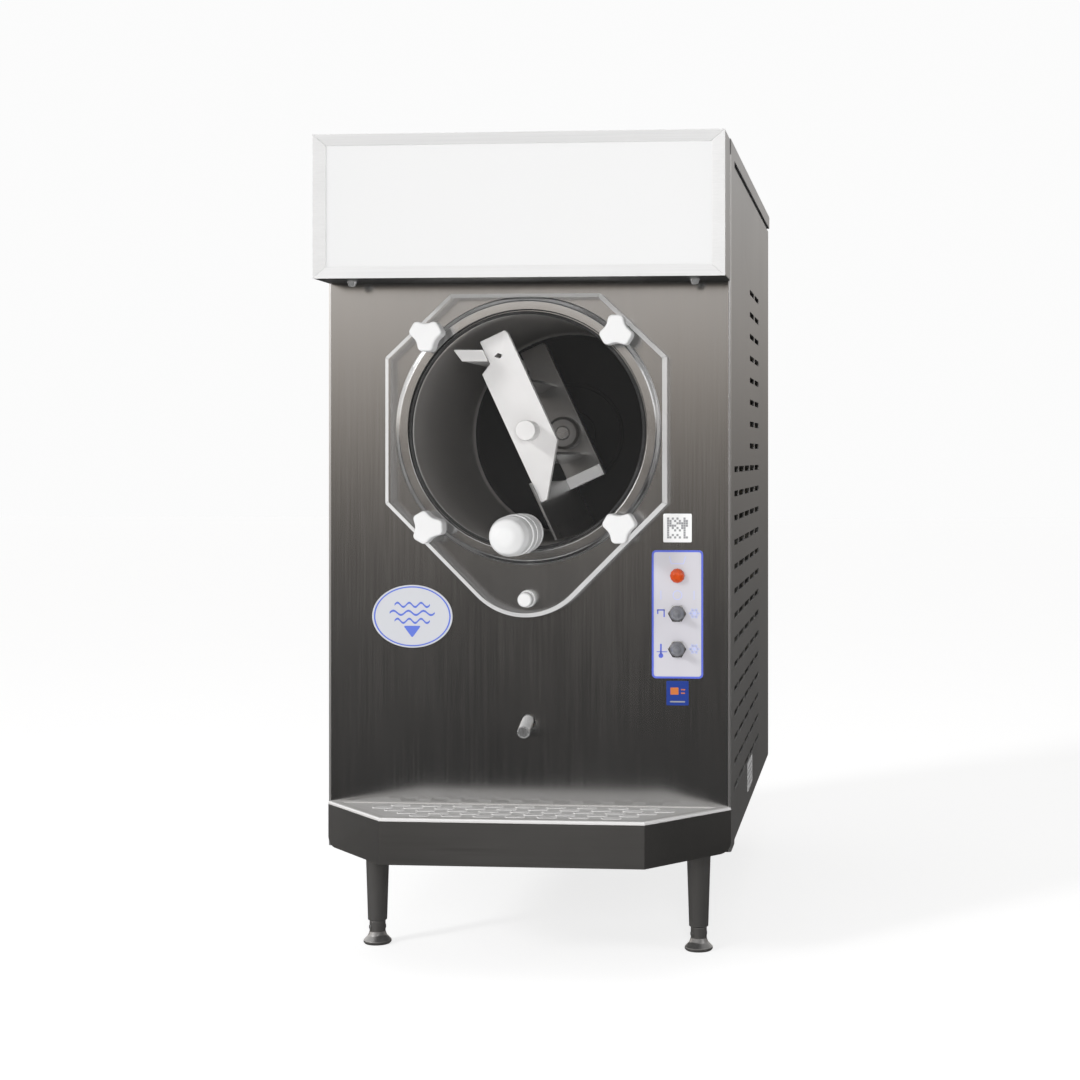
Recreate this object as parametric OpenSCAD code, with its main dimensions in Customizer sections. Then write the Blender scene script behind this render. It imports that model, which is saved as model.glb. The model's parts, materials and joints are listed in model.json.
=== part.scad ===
// Countertop air-cooled freezer for soft ice cream: a stainless cabinet on four legs,
// a lit header, a clear faceplate with a dispensing valve, and a turning dasher.

/* [Cabinet] */
// Width over the front panel and the top cover
cabinet_w = 406.4; // [360:0.1:500]
// Depth from the front panel to the back of the top cover
cabinet_d = 660; // [560:1:800]
// Height of the cabinet from its underside to its top
cabinet_h = 706; // [660:1:860]
// Height of the cabinet's underside above the surface
leg_h = 110; // [90:1:150]
// Thickness of the sheet steel
sheet_t = 1.5; // [1:0.1:2.5]
// Depth of the side returns of the front panel
return_d = 45; // [30:1:60]
// Depth of the down-turned flange of the top cover
flange_h = 16; // [12:1:30]
// Gap between that flange and the skins under it
flange_gap = 4; // [2:0.5:8]

/* [Vents] */
// Height of one vent slot
vent_h = 6; // [4:0.5:10]
// Length of one vent slot
vent_l = 72; // [50:1:78]
// Distance between vent rows
vent_pitch_z = 25; // [15:1:32]
// Distance between vent columns
vent_pitch_y = 84.5; // [80:0.5:100]
// Rows of vents that run the whole depth
low_rows = 14; // [8:1:16]
// Shorter rows above them
high_rows = 8; // [4:1:9]

/* [Header] */
// Height of the lit header
header_h = 140.8; // [100:0.1:180]
// How far it stands out from the front panel
header_d = 61; // [45:1:90]
// Width of the border round its lens
header_border = 13; // [8:0.5:20]

/* [Freezing cylinder] */
// Inner radius
bore_r = 116; // [96:0.5:140]
// Inner length
bore_l = 296; // [240:1:340]
// Wall thickness
bore_wall = 2; // [1.5:0.1:4]
// Width of the ring round the mouth
ring_w = 15; // [13:0.5:20]
// Thickness of that ring
ring_t = 6; // [5.5:0.1:12]
// Thickness of the foam round the cylinder
foam_t = 18; // [12:1:24]

/* [Faceplate] */
// Thickness of the clear plate
plate_t = 12.7; // [10:0.1:20]
// Margin from the bore to the plate's straight side
plate_side = 25; // [22:0.5:40]
// Height of the straight side above and below the axis
plate_shoulder = 72.7; // [60:0.1:100]
// Margin from the bore to the plate's top
plate_rise = 19.4; // [16:0.1:30]
// Half of the length of the plate's top edge
plate_top_half = 75; // [60:0.5:90]
// Radius of the lobe at the bottom
lobe_r = 69; // [50:0.5:80]
// Distance of each stud, along x and z, past the bore's diagonal
stud_out = 13; // [12:0.1:18]
// Radius of the studs
stud_r = 4; // [3:0.1:5]
// Radius of a knob's lobes
knob_lobe_r = 7; // [6:0.1:9]
// Length of a knob
knob_l = 25; // [20:0.5:35]

/* [Dispensing valve] */
// Radius of the plunger's grip
grip_r = 20; // [16:0.5:24]
// Length of the grip
grip_l = 87; // [70:0.5:100]
// Radius of the plunger's stem
stem_r = 7; // [5:0.1:8]
// Length of the valve body in front of the plate
valve_l = 15; // [14:0.5:24]

/* [Dasher] */
// Radius of the drive shaft
shaft_r = 11; // [9:0.1:14]
// Radius of the nose pin
nose_r = 10; // [8:0.1:12]
// Thickness of the two bars
bar_t = 8; // [6:0.5:12]
// Half of the width of the bars
bar_half = 20.8; // [18:0.1:26]
// Lean of the bars at rest
dasher_lean = 25; // [0:1:90]

/* [Controls] */
// Width of the control overlay
overlay_w = 51; // [46:0.5:60]
// Height of the control overlay
overlay_h = 127; // [124:1:140]
// Distance from the overlay's middle to the cabinet's side
overlay_in = 53.2; // [48:0.1:70]
// Distance between the two switches
switch_pitch = 35.2; // [28:0.1:38]

/* [Drip tray] */
// How far the tray stands out from the front panel
tray_d = 91.4; // [70:0.1:120]
// Height of the tray's apron
tray_h = 45; // [36:1:60]
// Half of the length of the tray's front edge
tray_front_half = 128; // [100:1:150]
// Width of the tray's rim
tray_rim = 8; // [6:0.5:12]
// Length of one slot of the drip grid
grid_slot_l = 19; // [12:0.5:22]
// Distance between the grid's slots
grid_pitch = 31.2; // [26:0.1:36]

/* [Hopper] */
// Width of the hopper
hopper_w = 300; // [220:1:320]
// Depth of the hopper
hopper_d = 290; // [200:1:320]

/* [Legs] */
// Radius of a leg at its top
leg_top_r = 12.5; // [10:0.5:18]
// Height of a screw foot below its leg
foot_h = 24; // [18:0.5:30]
// Inset of the front legs from the cabinet's side
leg_in = 37; // [30:1:60]
// Inset of the rear legs from the cabinet's side
rear_leg_in = 58; // [40:1:90]

/* [Hidden] */
$fn = 72;

// Clearances
part_gap = 0.3;
run_gap = 0.08;
joint_gap = 0.5;

// Colours
steel = "#9a968f";
bright_steel = "#c9c9c6";
dark_steel = "#3b3a38";
white_plastic = "#f3f3f1";
black = "#161616";

// Everything below is laid out from the front panel's outer face, at y = 0, and the row's
// origin is under the middle of the whole machine.
gland_out = 16;
front_out = ring_t + joint_gap + plate_t + valve_l + part_gap + grip_l;
panel_y = front_out - (front_out + cabinet_d + gland_out) / 2;

half_w = cabinet_w / 2;
skin_x = half_w - sheet_t;
top_z = leg_h + cabinet_h;
cover_z = top_z - sheet_t;
flange_z = top_z - flange_h;
skin_top = flange_z - flange_gap;
rear_y = cabinet_d - sheet_t;

// Header
header_half = half_w - 1;
header_drop = 0.4;
header_top = top_z - header_drop;
header_bottom = header_top - header_h;
lens_t = 3;
lens_in = 3;
nut_x = half_w - 33;
nut_y = -32;

// Cylinder
plate_top = bore_r + plate_rise;
header_clear = 12.4;
axis_z = header_bottom - header_clear - plate_top;
shell_r = bore_r + bore_wall;
ring_r = shell_r + ring_w;
back_t = 4;
bore_end = bore_l + back_t;
coil_r = 4.7;
coil_pitch = 20;
coil_first = 26;
jacket_r = shell_r + 2 * coil_r + 0.6;
foam_r = jacket_r + foam_t;

// Face seal: a ring in a step at the mouth
seal_r = 2.25;
seal_mid_r = bore_r + 1.2;
seal_step_r = seal_mid_r + seal_r + part_gap;
seal_step_y = -ring_t - joint_gap + 2 * seal_r + part_gap;

// Faceplate
plate_back = -ring_t - joint_gap;
plate_front = plate_back - plate_t;
plate_half = bore_r + plate_side;
lobe_c = plate_half + plate_shoulder - lobe_r * sqrt(2);
stud_at = bore_r / sqrt(2) + stud_out;
stud_end = plate_front - knob_l + 6;
knob_spread = 9;
knob_flank = knob_lobe_r - 0.1;
peg_r = 7;
peg_z = axis_z - lobe_c - 51.5;
nose_depth = plate_t - 3.2;

// Valve
valve_z = axis_z - bore_r + 14.5;
neck_r = stem_r + 4;
valve_front = plate_front - valve_l;
outlet_y = plate_front - 6;
outlet_r = 4.5;

// Dasher
bar_front = 14;
bar_rear = bore_l - 55;
blade_reach = bore_r - 3;
bar_reach = bore_r - 13;

// Hopper and the pipe into the cylinder
hopper_y = 40;
hopper_floor = axis_z + foam_r + 12;
hopper_t = 1.5;
rim_w = 10;
spout_y = 76;
spout_r = 14;
spout_wall = 1.4;
feed_r = spout_r - spout_wall - part_gap;
lid_over = 3;
lid_top = top_z + 10;

// Controls
control_x = half_w - overlay_in;
label_side = 28.4;
label_top = axis_z - plate_shoulder - 9.8;
overlay_top = label_top - label_side - 7.8;
overlay_z = overlay_top - overlay_h / 2;
overlay_t = 0.6;
lamp_z = overlay_top - 25.2;
switch_z = overlay_top - 62.5;
lamp_r = 7.3;
bushing_r = 6;
boot_r = 7.2;
boot_y = -3.2;
hex_t = 3.8;
label_t = 0.3;

// Drip tube
tube_r = 6.35;
tube_bore = 5;
tube_slope = 17;
tube_z = leg_h + 127;
tube_out = 25;
tube_turn_y = 12;
tube_riser_y = bore_end + 22;

// Drive train behind the cylinder
seal_len = 36;
gear_y = bore_end + seal_len;
gear_half = 55;
gear_l = 70;
belt_y = gear_y + gear_l + 14;
belt_w = 10;
pulley_w = 18;
driven_r = 66;
motor_x = -75;
motor_z = leg_h + 160;
motor_r = 60;
motor_y = gear_y - 12;
motor_l = 90;
motor_pulley_r = 30;
groove = 8;

// Refrigeration
comp_x = 92;
comp_y = 180;
comp_r = 72;
comp_h = 176;
cond_t = 40;
cond_x = -half_w + sheet_t * 2 + 4;
cond_y0 = 60;
cond_y1 = 270;
cond_z0 = leg_h + 45;
cond_z1 = leg_h + 270;
fan_y = (cond_y0 + cond_y1) / 2;
fan_z = leg_h + 160;
fan_r = 90;
shroud_x = cond_x + cond_t;
duct_x = shroud_x + 28;
duct_end = duct_x + 30;
pipe_r = 4;

// Legs
rear_leg_y = cabinet_d - 60;
front_leg_y = 53;
leg_places = [
    [-half_w + leg_in, front_leg_y], [half_w - leg_in, front_leg_y],
    [-half_w + rear_leg_in, rear_leg_y], [half_w - rear_leg_in, rear_leg_y]
];
foot_stem_r = 5;
leg_stud_r = 4;

// ---- helpers -------------------------------------------------------------------------

// Moves the layout, measured from the front panel, to the row's frame
module at_panel() {
    translate([0, panel_y, 0]) children();
}

// A box from one corner to the opposite one
module block(a, b) {
    translate(a) cube(b - a);
}

// A round bar along y
module rod_y(r, y0, y1, x = 0, z = 0) {
    translate([x, y0, z]) rotate([-90, 0, 0]) cylinder(r = r, h = y1 - y0);
}

// A round bar along x
module rod_x(r, x0, x1, y = 0, z = 0) {
    translate([x0, y, z]) rotate([0, 90, 0]) cylinder(r = r, h = x1 - x0);
}

// A profile of [radius, y] points turned about the y axis
module turned_y(points, x = 0, z = 0) {
    translate([x, 0, z]) rotate([-90, 0, 0]) rotate_extrude() polygon(points);
}

// A flat outline in x and z, given a thickness in y
module slab_y(y0, y1) {
    translate([0, y1, 0]) rotate([90, 0, 0]) linear_extrude(y1 - y0) children();
}

// A flat outline in y and z, given a thickness in x
module slab_x(x0, x1) {
    translate([x0, 0, 0]) rotate([90, 0, 90]) linear_extrude(x1 - x0) children();
}

// A rectangle with round corners, centred
module round_rect(w, h, r) {
    square([w - 2 * r, h], center = true);
    square([w, h - 2 * r], center = true);
    for (sx = [-1, 1], sy = [-1, 1]) {
        translate([sx * (w / 2 - r), sy * (h / 2 - r)]) circle(r);
    }
}

// ---- cabinet -------------------------------------------------------------------------

// One vent slot in y and z, from its left end
module vent_slot(y, z) {
    translate([y + vent_h / 2, z - vent_h / 2]) square([vent_l - vent_h, vent_h]);
    for (end = [vent_h / 2, vent_l - vent_h / 2]) {
        translate([y + end, z]) circle(vent_h / 2);
    }
}

vent_top = skin_top - 108;
vent_y0 = 46;
vent_cols = floor((cabinet_d - 235 - vent_y0) / vent_pitch_y) + 1;
high_cols = 2;
high_z0 = vent_top - (high_rows - 1) * vent_pitch_z;
low_fit = floor((high_z0 - vent_pitch_z - leg_h - 45) / vent_pitch_z) + 1;

// All the vents of a side
module side_vents() {
    for (row = [0:high_rows - 1], col = [vent_cols - high_cols:vent_cols - 1]) {
        vent_slot(vent_y0 + col * vent_pitch_y, vent_top - row * vent_pitch_z);
    }
    for (row = [1:min(low_rows, low_fit)], col = [0:vent_cols - 1]) {
        vent_slot(vent_y0 + col * vent_pitch_y, high_z0 - row * vent_pitch_z);
    }
}

// A side skin, from the front panel to the rear panel
module side_skin(x0, x1) {
    slab_x(x0, x1) difference() {
        translate([sheet_t, leg_h]) square([rear_y - 2 * sheet_t, skin_top - leg_h]);
        side_vents();
    }
}

module left_side_panel() {
    color(steel) at_panel() side_skin(-skin_x, -skin_x + sheet_t);
}

module right_side_panel() {
    color(steel) at_panel() side_skin(skin_x - sheet_t, skin_x);
}

post_w = 25;
post_t = 2;
pan_edge = 25;
pan_x = skin_x - sheet_t;
pan_y1 = rear_y - sheet_t;

// One corner post, an angle with its corner outwards
module corner_post(sx, y, sy) {
    z0 = leg_h + sheet_t;
    for (part = [[post_w, post_t], [post_t, post_w]]) {
        xa = sx * pan_x;
        xb = sx * (pan_x - part[0]);
        ya = y;
        yb = y + sy * part[1];
        block([min(xa, xb), min(ya, yb), z0], [max(xa, xb), max(ya, yb), cover_z]);
    }
}

module chassis() {
    color(dark_steel) at_panel() difference() {
        union() {
            difference() {
                block([-pan_x, sheet_t, leg_h], [pan_x, pan_y1, leg_h + pan_edge]);
                block([-pan_x + sheet_t, 2 * sheet_t, leg_h + sheet_t],
                      [pan_x - sheet_t, pan_y1 - sheet_t, leg_h + pan_edge + 1]);
            }
            for (sx = [-1, 1]) {
                corner_post(sx, sheet_t, 1);
                corner_post(sx, pan_y1, -1);
                x0 = sx > 0 ? pan_x - post_t : -pan_x;
                block([x0, sheet_t, skin_top - post_w], [x0 + post_t, pan_y1, cover_z]);
            }
        }
        for (at = leg_places) {
            translate([at.x, at.y, leg_h - 1]) cylinder(r = leg_stud_r + part_gap, h = sheet_t + 2);
        }
    }
}

module front_panel() {
    color(steel) at_panel() {
        difference() {
            block([-half_w, 0, leg_h], [half_w, sheet_t, cover_z]);
            rod_y(shell_r + joint_gap, -1, sheet_t + 1, z = axis_z);
            rod_y(tube_r + 1, -1, sheet_t + 1, z = tube_z);
            for (z = [lamp_z, switch_z, switch_z - switch_pitch]) {
                rod_y(bushing_r + part_gap, -1, sheet_t + 1, x = control_x, z = z);
            }
        }
        for (x = [-half_w, half_w - sheet_t]) {
            block([x, sheet_t, leg_h], [x + sheet_t, return_d, flange_z]);
        }
    }
}

gland_x = half_w - 60;
gland_z = leg_h + 70;
gland_r = 10;
rear_vent_w = 240;
rear_vents = floor((cabinet_h * 0.55) / vent_pitch_z);

module rear_panel() {
    color(steel) at_panel() slab_y(rear_y - sheet_t, rear_y) difference() {
        translate([-skin_x, leg_h]) square([2 * skin_x, skin_top - leg_h]);
        translate([gland_x, gland_z]) circle(gland_r + part_gap);
        for (row = [0:rear_vents - 1]) {
            translate([0, leg_h + 130 + row * vent_pitch_z]) round_rect(rear_vent_w, vent_h, 2.9);
        }
    }
}

module top_cover() {
    color(steel) at_panel() {
        difference() {
            block([-half_w, 0, cover_z], [half_w, cabinet_d, top_z]);
            hopper_block(part_gap, cover_z - 1, top_z + 1);
        }
        for (x = [-half_w, half_w - sheet_t]) {
            block([x, sheet_t, flange_z], [x + sheet_t, cabinet_d, cover_z]);
        }
        block([-half_w + sheet_t, rear_y, flange_z], [half_w - sheet_t, cabinet_d, cover_z]);
    }
}

screw_r = 4.5;
screw_t = 1.2;

module panel_screws() {
    color(bright_steel) at_panel() {
        for (x = [-1, 0, 1], z = [leg_h + 12, skin_top - 12]) {
            turned_y([[0, rear_y], [screw_r, rear_y], [screw_r * 0.6, rear_y + screw_t],
                      [0, rear_y + screw_t]], x = x * (skin_x - 14), z = z);
        }
    }
}

nut_r = 7.5;
nut_t = 6;

module legs() {
    color(dark_steel) at_panel() for (at = leg_places) {
        translate([at.x, at.y, 0]) difference() {
            union() {
                translate([0, 0, foot_h + part_gap])
                    cylinder(r1 = leg_top_r - 2.7, r2 = leg_top_r, h = leg_h - foot_h - part_gap);
                cylinder(r = leg_stud_r, h = leg_h + sheet_t + nut_t + 3);
                translate([0, 0, leg_h + sheet_t]) cylinder(r = nut_r, h = nut_t, $fn = 6);
            }
            translate([0, 0, -1]) cylinder(r = leg_stud_r + 1, h = foot_h + part_gap + 1);
            translate([0, 0, foot_h]) cylinder(r = foot_stem_r + run_gap, h = 46);
        }
    }
}

// One screw foot: flared pad, neck and the stem that turns in the leg
module screw_foot(at) {
    color(dark_steel) at_panel() translate([at.x, at.y, 0]) rotate_extrude()
        polygon([[0, 0], [14.3, 0], [14.3, 4], [8.2, 11], [8.2, foot_h],
                 [foot_stem_r, foot_h], [foot_stem_r, foot_h + 40], [0, foot_h + 40]]);
}

module foot_front_left() { screw_foot(leg_places[0]); }
module foot_front_right() { screw_foot(leg_places[1]); }
module foot_rear_left() { screw_foot(leg_places[2]); }
module foot_rear_right() { screw_foot(leg_places[3]); }

// ---- header --------------------------------------------------------------------------

module header_box() {
    b = header_border;
    color(bright_steel) at_panel() difference() {
        block([-header_half, -header_d, header_bottom], [header_half, 0, header_top]);
        block([-header_half + sheet_t, -header_d + lens_in, header_bottom + sheet_t],
              [header_half - sheet_t, 1, header_top - sheet_t]);
        block([-header_half + b, -header_d - 1, header_bottom + b - 2],
              [header_half - b, -header_d + lens_in + 1, header_top - b + 2]);
        for (sx = [-1, 1]) {
            translate([sx * nut_x, nut_y, header_bottom - 1]) cylinder(r = 2.6, h = sheet_t + 2);
        }
    }
}

module header_lens() {
    y = -header_d + lens_in;
    color("#f4f6f8") at_panel()
        block([-header_half + sheet_t, y, header_bottom + sheet_t],
              [header_half - sheet_t, y + lens_t, header_top - sheet_t]);
}

module header_lamp() {
    z = (header_bottom + header_top) / 2;
    span = header_half - 30;
    color("#fffbe8") at_panel() {
        rod_x(8, -span + 12, span - 12, y = -24, z = z);
        for (x = [-span, span - 12]) {
            block([x, -34, z - 14], [x + 12, 0, z + 14]);
        }
    }
}

module header_nuts() {
    color(bright_steel) at_panel() for (sx = [-1, 1]) {
        translate([sx * nut_x, nut_y, header_bottom]) rotate_extrude()
            polygon([[0, -6], [2, -6], [5, -1.5], [5, 0], [2.5, 0], [2.5, 6], [0, 6]]);
    }
}

// ---- freezing cylinder and faceplate -------------------------------------------------

// The four studs' places
module at_studs() {
    for (sx = [-1, 1], sz = [-1, 1]) {
        translate([sx * stud_at, 0, axis_z + sz * stud_at]) children();
    }
}

module cylinder_flange() {
    color(bright_steel) at_panel() difference() {
        turned_y([[shell_r, seal_step_y], [seal_step_r, seal_step_y], [seal_step_r, -ring_t],
                  [ring_r - 3, -ring_t], [ring_r, -ring_t + 3], [ring_r, 0], [shell_r, 0]],
                 z = axis_z);
        at_studs() rod_y(stud_r + part_gap, -ring_t - 1, 1);
    }
}

module freezing_cylinder() {
    color(bright_steel) at_panel() difference() {
        turned_y([[bore_r, seal_step_y], [shell_r, seal_step_y], [shell_r, bore_end],
                  [shaft_r + 3, bore_end], [shaft_r + 3, bore_l], [bore_r, bore_l]], z = axis_z);
        translate([0, spout_y, axis_z]) cylinder(r = spout_r + 0.2, h = shell_r + 5);
    }
}

coil_turns = floor((bore_l - coil_first - coil_r) / coil_pitch) + 1;

module evaporator_coil() {
    color("#b87333") at_panel() for (i = [0:coil_turns - 1]) {
        y = coil_first + i * coil_pitch;
        if (abs(y - spout_y) > spout_r + coil_r + 1) {
            translate([0, y, axis_z]) rotate([-90, 0, 0]) rotate_extrude()
                translate([shell_r + coil_r + 0.1, 0]) circle(coil_r, $fn = 24);
        }
    }
}

module insulation() {
    color("#e8d9a8") at_panel() difference() {
        union() {
            turned_y([[jacket_r, sheet_t], [foam_r, sheet_t], [foam_r, bore_end],
                      [jacket_r, bore_end]], z = axis_z);
            turned_y([[shell_r + 0.2, sheet_t], [foam_r - 1, sheet_t], [foam_r - 1, 12],
                      [shell_r + 0.2, 12]], z = axis_z);
            turned_y([[shell_r + 0.2, bore_end - 5], [foam_r - 1, bore_end - 5],
                      [foam_r - 1, bore_end], [shell_r + 0.2, bore_end]], z = axis_z);
        }
        translate([0, spout_y, axis_z]) cylinder(r = spout_r + 0.4, h = foam_r + 5);
    }
}

module studs() {
    color(bright_steel) at_panel() at_studs() rod_y(stud_r, stud_end, 0);
}

module locating_peg() {
    color(white_plastic) at_panel()
        turned_y([[0, plate_front - 1], [peg_r - 1, plate_front - 1], [peg_r, plate_front],
                  [peg_r, plate_back + 1], [peg_r + 3, plate_back + 1], [peg_r + 3, 0], [0, 0]],
                 z = peg_z);
}

// Outline of the clear plate about the cylinder's axis
module plate_outline() {
    tangent = (lobe_r - 0.2) / sqrt(2);
    polygon([[-plate_top_half, plate_top], [plate_top_half, plate_top],
             [plate_half, plate_shoulder], [plate_half, -plate_shoulder],
             [tangent, -lobe_c - tangent], [-tangent, -lobe_c - tangent],
             [-plate_half, -plate_shoulder], [-plate_half, plate_shoulder]]);
}

module faceplate() {
    color("#dfe8ea", 0.35) at_panel() difference() {
        union() {
            translate([0, 0, axis_z]) slab_y(plate_front, plate_back) plate_outline();
            rod_y(lobe_r, plate_front, plate_back, z = axis_z - lobe_c);
        }
        at_studs() rod_y(stud_r + 0.5, plate_front - 1, plate_back + 1);
        rod_y(peg_r + part_gap, plate_front - 1, plate_back + 1, z = peg_z);
        rod_y(neck_r, plate_front - 1, plate_back + 1, z = valve_z);
        rod_y(nose_r + run_gap, plate_back - nose_depth, plate_back + 1, z = axis_z);
    }
}

module face_o_ring() {
    color(black) at_panel() translate([0, plate_back + seal_r, axis_z]) rotate([-90, 0, 0])
        rotate_extrude() translate([seal_mid_r, 0]) circle(seal_r, $fn = 32);
}

// A hand knob with three lobes, turned by an angle
module hand_knob(sx, sz, turn) {
    y0 = plate_front - part_gap;
    color(white_plastic) at_panel() translate([sx * stud_at, 0, axis_z + sz * stud_at])
        difference() {
            union() {
                slab_y(plate_front - knob_l, y0 - 5) rotate(turn) {
                    polygon([for (a = [0, 120, 240], side = [-60, 60])
                        knob_spread * [cos(a), sin(a)] + knob_flank * [cos(a + side), sin(a + side)]]);
                    for (a = [0, 120, 240]) {
                        rotate(a) translate([knob_spread, 0]) circle(knob_lobe_r);
                    }
                }
                rod_y(9, y0 - 5, y0);
            }
            rod_y(stud_r + part_gap, stud_end - 1, y0 + 1);
        }
}

module knob_upper_left() { hand_knob(-1, 1, 20); }
module knob_upper_right() { hand_knob(1, 1, 75); }
module knob_lower_left() { hand_knob(-1, -1, 5); }
module knob_lower_right() { hand_knob(1, -1, -5); }

module valve_body() {
    color(white_plastic) at_panel() difference() {
        union() {
            rod_y(neck_r, plate_front, plate_back, z = valve_z);
            turned_y([[0, plate_front], [grip_r - 0.5, plate_front],
                      [grip_r - 0.5, plate_front - 5], [grip_r - 2.5, plate_front - 6.5],
                      [grip_r - 0.5, plate_front - 8], [grip_r - 0.5, valve_front],
                      [0, valve_front]], z = valve_z);
        }
        rod_y(stem_r + run_gap, valve_front - 1, plate_back + 1, z = valve_z);
        translate([0, outlet_y, valve_z - grip_r - 1]) cylinder(r = outlet_r, h = grip_r + 1);
    }
}

// The plunger: stem, grip and domed end
module valve_plunger() {
    y0 = valve_front - part_gap;
    y1 = y0 - grip_l;
    dome = [for (a = [0:15:90]) [(grip_r - 1) * sin(a), y1 + grip_r * (1 - cos(a)) * 0.7]];
    color(white_plastic) at_panel() turned_y(concat(dome, [
        [grip_r, y1 + grip_r * 0.7 + 2], [grip_r, y0 - 3], [grip_r - 2, y0],
        [stem_r, y0], [stem_r, plate_back], [0, plate_back]]), z = valve_z);
}

// ---- dasher --------------------------------------------------------------------------

// A flat outline across the cylinder that leans with the dasher
module dasher_slab(y0, y1) {
    translate([0, 0, axis_z]) slab_y(y0, y1) rotate(dasher_lean) children();
}

// Outline of a bar: notched for the blade at the top, tapered to a tip below
module bar_outline() {
    polygon([[-9, bar_reach], [bar_half - 2, bar_reach], [bar_half, bar_reach - 4],
             [bar_half, -20], [-14, -bar_reach + 33], [-bar_half, -bar_reach + 33],
             [-bar_half, bar_reach - 31], [-9, bar_reach - 24.5]]);
}

tie_up = 52;
tie_down = -32;

module dasher_frame() {
    color(bright_steel) at_panel() difference() {
        union() {
            dasher_slab(bar_front, bar_front + bar_t) bar_outline();
            dasher_slab(bar_rear, bar_rear + bar_t) bar_outline();
            for (u = [tie_up, tie_down]) {
                dasher_slab(bar_front + bar_t, bar_rear)
                    translate([-12, u]) square([24, 3.5]);
            }
            dasher_slab(bar_rear - 9, bar_rear) translate([-bar_half, -60])
                square([2 * bar_half, 13]);
            rod_y(18, bar_rear - 24, bar_rear, z = axis_z);
            rod_y(nose_r, plate_back - nose_depth + 1, bar_front, z = axis_z);
        }
        dasher_slab(bar_front - 1, bar_front + bar_t + 1)
            translate([2, bar_reach - 21]) circle(3.4);
    }
}

module scraper_blades() {
    tip = blade_reach;
    color(white_plastic) at_panel() {
        dasher_slab(10, bore_l - 6)
            polygon([[-0.32 * tip, 0.946 * tip], [-0.292 * tip, 0.818 * tip],
                     [-9, bar_reach - 22], [-9, bar_reach - 9]]);
        dasher_slab(10, bore_l - 6)
            translate([-bar_half - 2.5, -0.98 * tip]) square([2.5, 0.98 * tip - 48]);
    }
}

module drive_shaft() {
    color(bright_steel) at_panel() rod_y(shaft_r, bar_rear + bar_t, gear_y + 40, z = axis_z);
}

// ---- drive ---------------------------------------------------------------------------

module seal_housing() {
    color(dark_steel) at_panel() difference() {
        turned_y([[shaft_r + run_gap, bore_end], [50, bore_end], [50, bore_end + 8],
                  [32, bore_end + 8], [32, gear_y], [shaft_r + run_gap, gear_y]], z = axis_z);
        translate([0, tube_riser_y, axis_z - 40]) cylinder(r = tube_bore, h = 40);
    }
}

input_r = 8;

module gearbox() {
    color("#5b6068") at_panel() difference() {
        union() {
            block([-gear_half, gear_y, axis_z - gear_half],
                  [gear_half, gear_y + gear_l, axis_z + gear_half]);
            block([-10, gear_y + 10, leg_h + sheet_t], [40, gear_y + 22, axis_z - gear_half]);
        }
        rod_y(shaft_r + run_gap, gear_y - 1, gear_y + 41, z = axis_z);
        rod_y(input_r + run_gap, gear_y + gear_l - 25, gear_y + gear_l + 1, z = axis_z);
    }
}

// A pulley with a groove, its hub and shaft
module pulley(r, shaft, reach, x, z) {
    y0 = belt_y - (pulley_w - belt_w) / 2;
    y1 = y0 + pulley_w;
    turned_y([[0, y0 - reach], [shaft, y0 - reach], [shaft, y0], [r, y0], [r, y0 + 3],
              [r - groove, y0 + 3], [r - groove, y1 - 3], [r, y1 - 3], [r, y1], [0, y1]],
             x = x, z = z);
}

module driven_pulley() {
    color(dark_steel) at_panel() pulley(driven_r, input_r, 30, 0, axis_z);
}

module motor_pulley() {
    color(dark_steel) at_panel() pulley(motor_pulley_r, input_r, 30, motor_x, motor_z);
}

module drive_motor() {
    color("#3a4450") at_panel() difference() {
        union() {
            rod_y(motor_r, motor_y, motor_y + motor_l, x = motor_x, z = motor_z);
            block([motor_x - 45, motor_y + 8, leg_h + sheet_t],
                  [motor_x + 45, motor_y + motor_l - 8, motor_z - motor_r + 12]);
        }
        rod_y(input_r + run_gap, motor_y + motor_l - 32, motor_y + motor_l + 1,
              x = motor_x, z = motor_z);
    }
}

// Both pulleys' belt line, grown by an amount
module belt_line(grow) {
    hull() {
        translate([0, axis_z]) circle(driven_r - groove + 1 + grow, $fn = 64);
        translate([motor_x, motor_z]) circle(motor_pulley_r - groove + 1 + grow, $fn = 48);
    }
}

module v_belt() {
    color(black) at_panel() slab_y(belt_y + 0.5, belt_y + belt_w - 0.5) difference() {
        belt_line(6);
        belt_line(0);
    }
}

// ---- refrigeration -------------------------------------------------------------------

module compressor() {
    z0 = leg_h + sheet_t;
    color("#1c1d20") at_panel() {
        translate([comp_x, comp_y, z0 + 10]) rotate_extrude() polygon(concat(
            [[0, 0], [comp_r * 0.8, 0], [comp_r, 18]],
            [for (a = [0:15:75]) [comp_r * cos(a), comp_h - 45 + 35 * sin(a)]],
            [[0, comp_h - 10]]));
        for (sx = [-1, 1], sy = [-1, 1]) {
            translate([comp_x + sx * 40, comp_y + sy * 40, z0]) cylinder(r = 9, h = 10);
        }
    }
}

module condenser() {
    color("#8c8f92") at_panel() {
        difference() {
            block([cond_x, cond_y0, leg_h + sheet_t], [shroud_x, cond_y1, cond_z1]);
            block([cond_x - 1, cond_y0 + 12, leg_h], [shroud_x + 1, cond_y1 - 12, cond_z0]);
        }
    }
}

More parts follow.
